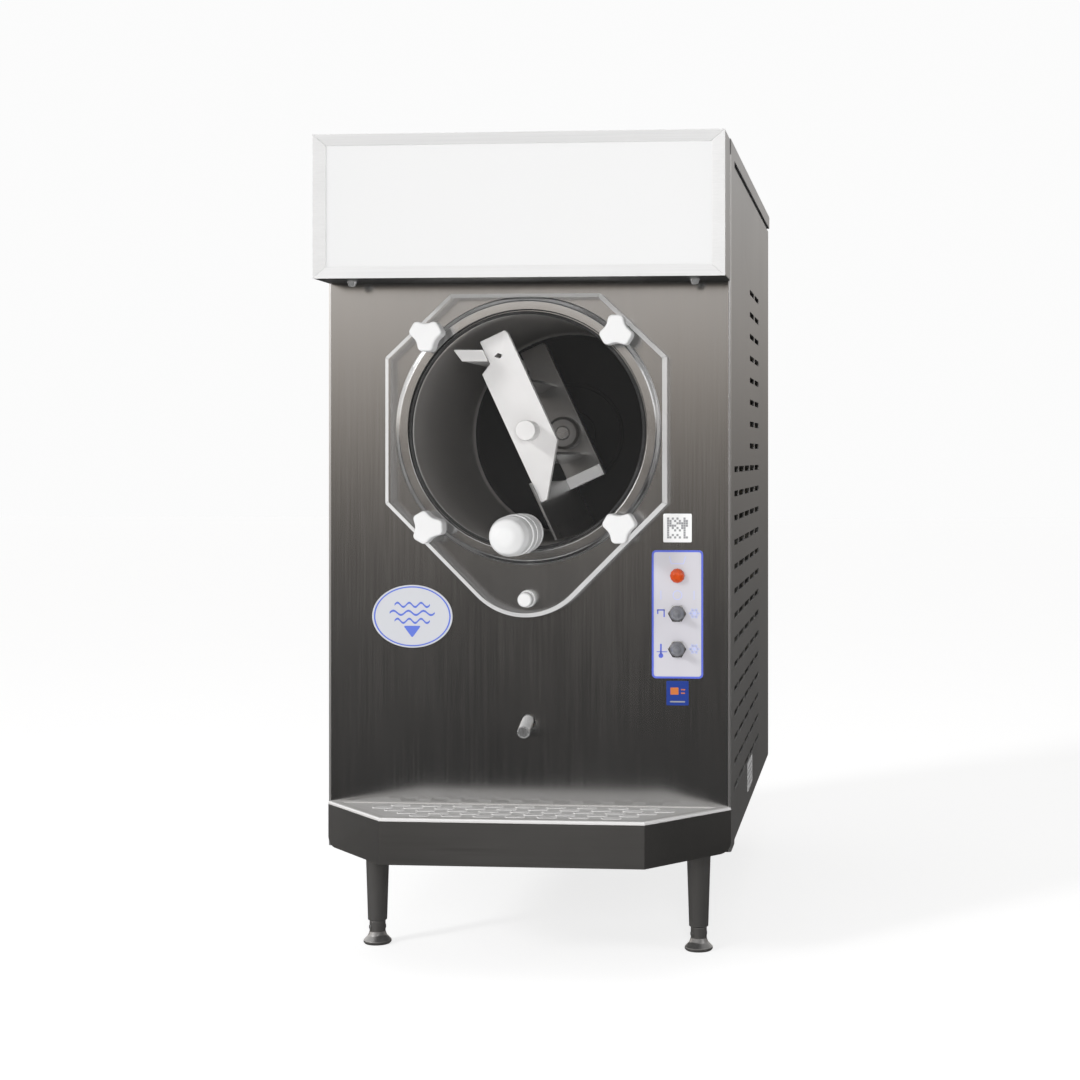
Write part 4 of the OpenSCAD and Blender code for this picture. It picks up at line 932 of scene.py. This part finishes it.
def valve():
    """The valve's white body and its plunger with a domed grip."""
    bm = bmesh.new()
    grip = 0.0198
    front = PLATE_FRONT - low("valve_body").y
    profile = corners((0.0071, -(PLATE_BACK - PLATE_FRONT)), (0.011, -(PLATE_BACK - PLATE_FRONT), 0.0006),
                      (0.011, 0), (grip - 0.0005, 0, 0.0008), (grip - 0.0005, 0.005, 0.0008),
                      (grip - 0.0028, 0.0066, 0.0007), (grip - 0.0005, 0.0082, 0.0008),
                      (grip - 0.0005, front, 0.0012), (0.0071, front), steps=3)
    turned(bm, profile, facing(0, PLATE_FRONT, VALVE_Z), 72, closed=True)
    spout = corners((0.0045, -0.0205), (0.0068, -0.0205, 0.0006), (0.0068, -0.015), (0.0045, -0.015), steps=3)
    turned(bm, [(r, h + 0.001) for r, h in spout], lying(0, PLATE_FRONT - 0.0085, VALVE_Z), 36, closed=True)
    piece("valve_moulding", bm, [WHITE], body=body_of("valve_body"), stands_for=["valve_body"])

    bm = bmesh.new()
    lo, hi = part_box("valve_plunger")
    grip = hi.x
    base = PLATE_FRONT - 0.0153
    tip = base - lo.y
    profile = corners((0, base - hi.y), (0.007, base - hi.y, 0.0006), (0.007, 0), (grip - 0.0026, 0, 0.0008),
                      (grip, 0.003, 0.001), (grip, 0.021, 0.0012), (grip - 0.0032, 0.0235, 0.001),
                      (grip, 0.026, 0.0012), (grip, 0.043, 0.0012), (grip - 0.0032, 0.0455, 0.001),
                      (grip - 0.0006, 0.048, 0.0014), (grip * 0.96, tip - 0.02, 0.01),
                      (grip * 0.82, tip - 0.006, 0.007), (grip * 0.4, tip, 0.01), (0, tip), closed=False, steps=5)
    turned(bm, profile, facing(0, base, VALVE_Z), 72)
    piece("plunger_grip", bm, [WHITE], body=body_of("valve_plunger"), stands_for=["valve_plunger"])

    bm = bmesh.new()
    lo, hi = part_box("locating_peg")
    deep = hi.y - lo.y
    peg = corners((0, deep), (0.006, deep, 0.001), (0.007, deep - 0.0014, 0.0008), (0.007, 0.0055),
                  (0.0086, 0.0055, 0.0006), (0.0086, 0), (0, 0), closed=False, steps=3)
    turned(bm, peg, facing(0, hi.y, PEG_Z), 40)
    piece("peg_turned", bm, [WHITE], body=body_of("locating_peg"), stands_for=["locating_peg"])


# ---- dasher ------------------------------------------------------------------------------

LEAN = radians(25)
BAR_REACH = BORE_R - 0.013
BAR_HALF = 0.0208
BAR_T = 0.008
BAR_FRONT_Y = PANEL_Y + 0.014
BAR_REAR_Y = PANEL_Y + 0.241


def leaning(y):
    return facing(0, y, AXIS_Z) @ Matrix.Rotation(LEAN, 4, "Z")


def bar_outline(*foot):
    """A bar notched for its blade at the top, with the lower end given."""
    return corners((-0.009, BAR_REACH, 0.001), (BAR_HALF - 0.002, BAR_REACH, 0.001),
                   (BAR_HALF, BAR_REACH - 0.004, 0.001), *foot,
                   (-BAR_HALF, BAR_REACH - 0.031, 0.0015), (-0.009, BAR_REACH - 0.0245, 0.001), steps=3)


def dasher():
    """The dasher: a white front bar with its nose pin, steel ties, the rear bar and two blades."""
    bm = bmesh.new()
    slot = corners((-0.0042, 0.0012, 0.0005), (0.0008, -0.003, 0.0005), (0.0046, -0.0006, 0.0005),
                   (0.001, 0.003, 0.0005), steps=2)
    slot = [(u + 0.002, v + BAR_REACH - 0.021) for u, v in slot]
    tapered = bar_outline((BAR_HALF, -0.02, 0.002), (-0.014, 0.033 - BAR_REACH, 0.001),
                          (-BAR_HALF, 0.033 - BAR_REACH, 0.001))
    slab(bm, tapered, BAR_T, leaning(BAR_FRONT_Y + BAR_T), [slot], edge=0.001, steps=2)
    tip = low("dasher_frame").y
    pin = corners((0, 0), (0.01, 0), (0.01, BAR_FRONT_Y - tip, 0.0012), (0, BAR_FRONT_Y - tip),
                  closed=False, steps=3)
    turned(bm, pin, facing(0, BAR_FRONT_Y, AXIS_Z), 48)
    square = bar_outline((BAR_HALF, -0.0595, 0.001), (-BAR_HALF, -0.0595, 0.001))
    slab(bm, square, BAR_T, leaning(BAR_REAR_Y + BAR_T), edge=0.0008, steps=2, top=1, rim=1)
    for across, lift in ((-0.012, 0.052), (-0.012, -0.032)):
        tie = rectangle(across + 0.012, lift + 0.00175, 0.024, 0.0035, 0.0006, 2)
        slab(bm, tie, BAR_REAR_Y - BAR_FRONT_Y - BAR_T, leaning(BAR_REAR_Y), top=3, rim=3)
    # The end block takes the whiter copy of the plastic: painted light on a part in shade.
    block = rectangle(0, -0.0535, 2 * BAR_HALF, 0.013, 0.0008, 2)
    slab(bm, block, 0.009, leaning(BAR_REAR_Y), edge=0.0008, steps=2, top=4, rim=4)
    hub = corners((0.008, 0), (0.018, 0), (0.018, 0.021, 0.0012), (0.015, 0.024, 0.001), (0.008, 0.024), steps=3)
    turned(bm, hub, facing(0, BAR_REAR_Y, AXIS_Z), 56, closed=True, material=1)
    boss = corners((0, 0.02), (0.0075, 0.02, 0.001), (0.0075, 0.026, 0.0014), (0, 0.026), closed=False)
    turned(bm, boss, facing(0, BAR_REAR_Y, AXIS_Z), 32, material=2)
    piece("dasher_bars", bm, [CREAM_WHITE, BAR_STEEL, BRIGHT, NICKEL, BRIGHTENED_END_WHITE], body="dasher", stands_for=["dasher_frame"])

    bm = bmesh.new()
    reach = BORE_R - 0.003
    long = high("scraper_blades").y - low("scraper_blades").y
    rear = high("scraper_blades").y
    wedge = corners((-0.32 * reach, 0.946 * reach, 0.0006), (-0.292 * reach, 0.818 * reach, 0.001),
                    (-0.009, BAR_REACH - 0.022), (-0.009, BAR_REACH - 0.009), steps=3)
    slab(bm, wedge, long, leaning(rear), edge=0.0006, steps=2)
    strip = rectangle(-BAR_HALF - 0.00125, (-0.98 * reach - 0.048) / 2, 0.0025, 0.98 * reach - 0.048, 0.0005, 2)
    slab(bm, strip, long, leaning(rear), edge=0.0006, steps=2, top=1, rim=1)
    piece("dasher_blades", bm, [CREAM_WHITE, BAR_STEEL], body="dasher", stands_for=["scraper_blades"])


# ---- controls, badge and labels ------------------------------------------------------------------


def icon_strokes(bm, strokes, front, thick=0.00012, ink=2):
    """Thin printed strokes, each a rectangle (x, z, width, height) or a finished outline."""
    for stroke in strokes:
        outline = rectangle(*stroke) if isinstance(stroke, tuple) else stroke
        slab(bm, outline, thick, facing(0, front, 0), top=ink, rim=ink)


def ring_print(bm, x, z, outer, inner, front, index, wide=1.0, count=40):
    slab(bm, round_hole(x, z, outer, count, wide), 0.00012, facing(0, front, 0),
         [round_hole(x, z, inner, count, 1 + (wide - 1) * 1.02)], top=index, rim=index)


def bar_between(a, b, wide):
    """A straight stroke from a to b."""
    a, b = Vector(a), Vector(b)
    side = (b - a).orthogonal().normalized() * wide / 2
    return [tuple(p) for p in (a - side, b - side, b + side, a + side)]


def overlay():
    """The printed overlay: a pale film, a blue border and small pictograms."""
    bm = bmesh.new()
    lo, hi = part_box("control_overlay")
    mid = middle("control_overlay")
    wide, tall = hi.x - lo.x, hi.z - lo.z
    holes = [round_hole(CONTROL_X, middle(n).z, 0.0063, 24) for n in
             ("indicator_lamp", "upper_toggle", "lower_toggle")]
    film = hi.y - lo.y - 0.00015
    slab(bm, rectangle(mid.x, mid.z, wide, tall, 0.004), film, facing(0, hi.y, 0), holes)
    front = hi.y - film
    rim = 0.0019
    border = rectangle(mid.x, mid.z, wide, tall, 0.004)
    inside = rectangle(mid.x, mid.z, wide - 2 * rim, tall - 2 * rim, 0.0026)
    slab(bm, border, 0.00014, facing(0, front, 0), [inside], top=1, rim=1)
    x, top = mid.x, hi.z
    cup = [bar_between((x - 0.008, top - 0.006), (x - 0.0062, top - 0.013), 0.0009),
           bar_between((x + 0.008, top - 0.006), (x + 0.0062, top - 0.013), 0.0009),
           (x, top - 0.0134, 0.0126, 0.0009)]
    bars = [(x - 0.0165, top - 0.0445, 0.0009, 0.009), (x + 0.0165, top - 0.0445, 0.0009, 0.009)]
    icon_strokes(bm, cup + bars, front)
    ring_print(bm, x, top - 0.0445, 0.0048, 0.0039, front, 2)
    for flake_x, flake_z in ((x + 0.0168, top - 0.0625), (x + 0.0168, top - 0.0977)):
        for arm in range(3):
            reach = 0.0056 * Vector((cos(arm * pi / 3), sin(arm * pi / 3)))
            at = Vector((flake_x, flake_z))
            across = reach.orthogonal() * 0.42
            arms = [bar_between(at - reach, at + reach, 0.0013)]
            for side in (-1, 1):
                tip = at + side * reach * 0.62
                arms.append(bar_between(tip - across, tip + across, 0.0009))
            icon_strokes(bm, arms, front - 0.00001 * arm, 0.00011)
    tap_x, tap_z = x - 0.0165, top - 0.0625
    icon_strokes(bm, [(tap_x, tap_z + 0.0032, 0.0075, 0.0012), (tap_x + 0.0032, tap_z, 0.0012, 0.0075),
                      (tap_x - 0.0032, tap_z + 0.0015, 0.0012, 0.0045)], front, ink=1)
    gauge_z = top - 0.1015
    icon_strokes(bm, [(tap_x, gauge_z + 0.0035, 0.0016, 0.0105, 0.0007),
                      (tap_x + 0.001, gauge_z + 0.0008, 0.0105, 0.0008),
                      round_hole(tap_x, gauge_z - 0.003, 0.0024, 20)], front, ink=1)
    piece("overlay_print", bm, [FILM, BLUE_INK, PALE_INK], stands_for=["control_overlay"])


def lamp_and_switches():
    """The amber lamp, and two switches under hexagonal nuts and soft grey boots."""
    bm = bmesh.new()
    lo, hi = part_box("indicator_lamp")
    at = middle("indicator_lamp")
    wide = hi.x - at.x
    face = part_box("control_overlay")[0].y
    long = face - lo.y
    lens = corners((0, face - hi.y), (0.006, face - hi.y, 0.0005), (0.006, 0), (wide, 0),
                   (wide, 0.0022, 0.0006), (wide * 0.92, 0.003), (wide * 0.9, long * 0.62, 0.0012),
                   (wide * 0.55, long * 0.93, 0.002), (0, long), closed=False, steps=4)
    turned(bm, lens, facing(at.x, face, at.z), 12)
    piece("lamp_lens", bm, [AMBER], stands_for=["indicator_lamp"], smooth=24)

    bm = bmesh.new()
    lo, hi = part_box("toggle_nuts")
    for node in ("upper_toggle", "lower_toggle"):
        z = middle(node).z
        nut = round_hole(0, 0, 0.0094, 6)
        slab(bm, nut, face - lo.y, facing(CONTROL_X, face, z), [round_hole(0, 0, 0.0075, 36)], edge=0.0007,
             steps=2)
        bush = corners((0, 0), (0.006, 0), (0.006, hi.y - face, 0.0006), (0, hi.y - face), closed=False)
        turned(bm, bush, facing_back(CONTROL_X, face, z), 32)
    piece("switch_nuts", bm, [BRIGHT], stands_for=["toggle_nuts"])

    for node, body in (("upper_toggle", "switch_upper"), ("lower_toggle", "switch_lower")):
        bm = bmesh.new()
        lo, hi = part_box(node)
        at = middle(node)
        wide, long = hi.x - at.x, hi.y - lo.y
        boot = corners((0, 0), (wide, 0, 0.0003), (wide, 0.0018, 0.0006), (wide * 0.86, 0.0042, 0.001),
                       (wide * 0.66, 0.0066, 0.001), (0.0031, 0.0082, 0.0015), (0.0036, long * 0.83, 0.0012),
                       (0.0026, long * 0.95, 0.001), (0, long), closed=False, steps=4)
        turned(bm, boot, facing(at.x, hi.y, at.z), 40)
        piece(body + "_boot", bm, [GREY_RUBBER], body=body, stands_for=[node])


def badge():
    """An oval badge with a blue ring and a plain mark of three waves over a cone."""
    bm = bmesh.new()
    lo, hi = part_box("oval_badge")
    at = middle("oval_badge")
    tall, wide = hi.z - lo.z, hi.x - lo.x
    ratio = wide / tall
    thick = hi.y - lo.y - 0.00015
    slab(bm, round_hole(at.x, at.z, tall / 2, 96, ratio), thick, facing(0, hi.y, 0), edge=0.0004, steps=2)
    front = hi.y - thick
    ring_print(bm, at.x, at.z, tall / 2 * 0.955, tall / 2 * 0.915, front, 1, ratio, 96)
    for row, span in ((0.0125, 0.036), (0.0045, 0.046), (-0.0035, 0.036)):
        upper = [(at.x - span / 2 + span * i / 24, at.z + row + 0.0022 * sin(i * pi / 4)) for i in range(25)]
        lower = [(u, v - 0.0021) for u, v in reversed(upper)]
        slab(bm, upper + lower, 0.00012, facing(0, front, 0), top=1, rim=1)
    cone = corners((at.x - 0.009, at.z - 0.0095, 0.0008), (at.x, at.z - 0.0215, 0.0012),
                   (at.x + 0.009, at.z - 0.0095, 0.0008), steps=3)
    slab(bm, cone, 0.00012, facing(0, front, 0), top=1, rim=1)
    piece("badge_oval", bm, [BADGE, BADGE_BLUE], stands_for=["oval_badge"])


def label_set():
    """Three small labels: a speckled square, a blue sticker and one on the side."""
    bm = bmesh.new()
    film = 0.00018
    side = 0.0284
    top = AXIS_Z - 0.0727 - 0.0098
    slab(bm, rectangle(CONTROL_X, top - side / 2, side, side, 0.0012, 3), film, facing(0, PANEL_Y, 0))
    cells, pitch = 9, side * 0.74 / 9
    for i in range(cells):
        for j in range(cells):
            if (i * 37 + j * 91 + i * j * 13 + i * i * 5) % 7 > 2:
                continue
            x = CONTROL_X + (i - cells / 2 + 0.5) * pitch
            z = top - side / 2 + (j - cells / 2 + 0.5) * pitch
            slab(bm, rectangle(x, z, pitch * 0.9, pitch * 0.9), 0.0001, facing(0, PANEL_Y - film, 0),
                 top=1, rim=1)
    wide, tall = 0.022, 0.0242
    top = low("control_overlay").z - 0.0025
    slab(bm, rectangle(CONTROL_X, top - tall / 2, wide, tall, 0.001, 3), film, facing(0, PANEL_Y, 0),
         top=2, rim=2)
    for x, z, w, h, index in ((-0.003, 0.002, 0.008, 0.007, 3), (0.0055, 0.0035, 0.004, 0.0012, 3),
                              (0.0055, 0.0, 0.004, 0.0012, 3), (0, -0.0085, 0.015, 0.0014, 1)):
        slab(bm, rectangle(CONTROL_X + x, top - tall / 2 + z, w, h, 0.0004, 2), 0.0001,
             facing(0, PANEL_Y - film, 0), top=index, rim=index)
    skin = high("right_side_panel").x
    y, z = PANEL_Y + 0.3, BASE_Z + 0.032
    slab(bm, rectangle(y, z, 0.08, 0.032, 0.002, 3), film, facing_right(skin, 0, 0))
    for row in range(4):
        slab(bm, rectangle(y - 0.006 * (row % 2), z + 0.009 - 0.006 * row, 0.06, 0.0014), 0.0001,
             facing_right(skin + film, 0, 0), top=1, rim=1)
    piece("label_films", bm, [PAPER, PAPER_INK, STICKER_BLUE, STICKER_ORANGE], stands_for=["labels"])


# ---- tray, tube, lid and gland -------------------------------------------------------------------


def tray_plan(inset, rear):
    """Plan of the tray inset all round, its back edge a distance in front of the panel."""
    front_half, out = 0.128, PANEL_Y - low("drip_tray").y
    slant = HALF_W - front_half
    lost = inset * (out * out + slant * slant) ** 0.5 / out

    def half(away):
        return HALF_W - slant * away / out - lost

    front = out - inset
    return [(-half(rear), PANEL_Y - rear), (-half(front), PANEL_Y - front), (half(front), PANEL_Y - front),
            (half(rear), PANEL_Y - rear)]


def tray():
    """The drip tray: a folded apron, a flat rim round the grid and a shallow sink."""
    bm = bmesh.new()
    lo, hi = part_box("drip_tray")
    ledge = hi.z - 0.0033
    sink = BASE_Z + 0.018
    slab(bm, tray_plan(0, 0), ledge - lo.z, lying(0, 0, lo.z), [tray_plan(0.014, 0.009)])
    # The rim's edges take the lighter lip steel: a painted highlight round the rim.
    slab(bm, tray_plan(0, 0), hi.z - ledge, lying(0, 0, ledge), [tray_plan(0.008, 0.004)], edge=0.0018, steps=3,
         top=2, rim=1)
    slab(bm, tray_plan(0.0135, 0.0085), 0.0015, lying(0, 0, sink - 0.0015))
    radius = 0.01
    for side in (-1, 1):
        centre = Vector((side * (HALF_W - radius), 0, lo.z + radius))
        for step in range(1, 7):
            turn = radians(90 * step / 7)
            out = Vector((side * sin(turn), 0, -cos(turn)))
            geom = bm.verts[:] + bm.edges[:] + bm.faces[:]
            cut = bmesh.ops.bisect_plane(bm, geom=geom, plane_co=centre + out * radius, plane_no=out,
                                         clear_outer=True)
            edges = [e for e in cut["geom_cut"] if isinstance(e, bmesh.types.BMEdge)]
            if edges:
                bmesh.ops.holes_fill(bm, edges=edges)
    piece("tray_pan", bm, [TRAY_STEEL, HIGHLIGHT_LIP_STEEL, DECK_STEEL], stands_for=["drip_tray"])


def grid_plate():
    """The lift-out grid: staggered slots, each with a pressed lip."""
    bm = bmesh.new()
    lo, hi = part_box("drip_grid")
    out, front_half = PANEL_Y - low("drip_tray").y, 0.128
    slant = HALF_W - front_half
    lost = 0.016 * (out * out + slant * slant) ** 0.5 / out
    slots = []
    for row in range(5):
        away = 0.016 + row * 0.0135
        room = HALF_W - slant * (away + 0.006) / out - lost - 0.0095
        for i in range(-8, 9):
            x = i * 0.0312 + (row % 2) * 0.0156
            if abs(x) < room:
                slots.append((x, PANEL_Y - away))
    holes = [rectangle(x, y, 0.019, 0.006, 0.0029, 4) for x, y in slots]
    slab(bm, tray_plan(0.0086, 0.0046), hi.z - lo.z - 0.0006, lying(0, 0, lo.z), holes, edge=0.0006, steps=2)
    # Each slot's lip takes the lighter lip steel: a painted highlight round the slot.
    for x, y in slots:
        slab(bm, rectangle(x, y, 0.0208, 0.0078, 0.0038, 4), 0.0006, lying(0, 0, hi.z - 0.0006),
             [rectangle(x, y, 0.0184, 0.0054, 0.0026, 4)], edge=0.0005, steps=2, top=1, rim=1)
    piece("grid_pressing", bm, [DECK_STEEL, HIGHLIGHT_LIP_STEEL], body="grid", stands_for=["drip_grid"])


def spill_tube():
    """The bent drip tube, its mouth cut square."""
    bm = bmesh.new()
    slope = radians(17)
    z0 = BASE_Z + 0.127
    out, turn_y, riser_y = 0.025, 0.012, 0.322
    low_z = z0 + turn_y * tan(slope)
    top = high("drip_tube").z
    radius, bore = 0.00635, 0.005
    path = corners((PANEL_Y - out, z0 - out * tan(slope)), (PANEL_Y + turn_y, low_z, 0.03),
                   (PANEL_Y + riser_y, low_z, 0.014), (PANEL_Y + riser_y, top), closed=False, steps=8)
    outer = swept(bm, path, radius, 36)
    outside = set(bm.faces)
    inner = swept(bm, path, bore, 36)
    # The tube's inside takes the near-black steel: painted shade in its bore.
    for face in bm.faces:
        if face not in outside:
            face.material_index = 1
    for a, b in zip(outer, inner):
        bmesh.ops.bridge_loops(bm, edges=a + b)
    bmesh.ops.recalc_face_normals(bm, faces=bm.faces[:])
    piece("drip_tube_bent", bm, [NICKEL, DEEP_SHADE_STEEL], stands_for=["drip_tube"])


def lid():
    """The hopper lid: a shallow pressed pan with a bar handle on two posts."""
    bm = bmesh.new()
    lo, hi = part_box("hopper_lid")
    posts = 0.02
    top = hi.z - posts
    mid = (lo.y + hi.y) / 2
    rim = rectangle(0, mid, hi.x - lo.x, hi.y - lo.y, 0.003, 4)
    wall = rectangle(0, mid, hi.x - lo.x - 0.003, hi.y - lo.y - 0.003, 0.0015, 4)
    slab(bm, rim, top - lo.z - SHEET, lying(0, 0, lo.z), [wall])
    slab(bm, rim, SHEET, lying(0, 0, top - SHEET), edge=0.0012, steps=3)
    dish = rectangle(0, mid, hi.x - lo.x - 0.07, hi.y - lo.y - 0.07, 0.02, 6)
    slab(bm, dish, 0.0006, lying(0, 0, top), edge=0.0005, steps=2)
    inner = rectangle(0, mid, hi.x - lo.x - 0.014, hi.y - lo.y - 0.014, 0.003, 4)
    slab(bm, inner, top - SHEET - TOP_Z - SHEET - 0.0003, lying(0, 0, TOP_Z + SHEET + 0.0003))
    for x in (-0.05, 0.05):
        slab(bm, rectangle(x, mid, 0.01, 0.012, 0.003, 4), 0.014, lying(0, 0, top), top=1, rim=1)
    grip = rectangle(0, 0, 0.11, 0.012, 0.004, 5)
    slab(bm, grip, 0.008, lying(0, mid, hi.z - 0.008), edge=0.0028, steps=4, top=1, rim=1)
    piece("lid_pressing", bm, [COVER_STEEL, BLACK_PLASTIC], body="lid", stands_for=["hopper_lid"])


def cord_entry():
    """The empty cord gland in the rear panel: a hexagonal body and a ribbed cap."""
    bm = bmesh.new()
    lo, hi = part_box("cord_gland")
    at = middle("cord_gland")
    skin = high("rear_panel").y
    bore = 0.0048
    out = hi.y - skin
    inside = skin - lo.y
    slab(bm, round_hole(0, 0, 0.014, 6), 0.005, facing_back(at.x, skin, at.z), [round_hole(0, 0, bore, 32)],
         edge=0.0008, steps=2)
    cap = corners((bore, -inside), (0.01, -inside, 0.0006), (0.01, 0), (0.0118, 0), (0.0118, 0.0056),
                  (0.0112, out * 0.62, 0.002), (0.0092, out, 0.002), (bore, out, 0.0008), steps=4)
    turned(bm, cap, facing_back(at.x, skin, at.z), 48, closed=True)
    for rib in range(16):
        place = facing_back(at.x, skin + 0.005, at.z) @ Matrix.Rotation(rib * pi / 8, 4, "Z")
        slab(bm, rectangle(0.0113, 0, 0.0016, 0.0018, 0.0004, 2), out * 0.45, place, edge=0.0005, steps=2)
    piece("gland_moulding", bm, [BLACK_PLASTIC], stands_for=["cord_gland"])


# ---- the whole machine -------------------------------------------------------------------

set_camera()
set_light()
set_stage()
for make in (front_sheet, cover, rear_screws, leg_set, screw_feet, header, mouth_ring, lining, door, hand_knobs,
             valve, dasher, overlay, lamp_and_switches, badge, label_set, tray, grid_plate, spill_tube, lid,
             cord_entry):
    make()
dress(SKIN_STEEL, "left_side_panel", "right_side_panel", "rear_panel")
dress(BRIGHT, "studs", "drive_shaft", "hopper")
dress(COPPER, "evaporator_coil", "refrigerant_lines")
dress(FOAM, "insulation")
dress(GREY_METAL, "gearbox", "seal_housing")
dress(MOTOR_PAINT, "drive_motor")
dress(BLACK_RUBBER, "v_belt")
dress(DARK_METAL, "compressor", "fan_motor", "driven_pulley", "motor_pulley")
dress(FINS, "condenser")
dress(ZINC, "chassis", "fan_shroud", "control_box", "fan_blade")
dress(WHITE, "feed_tube")
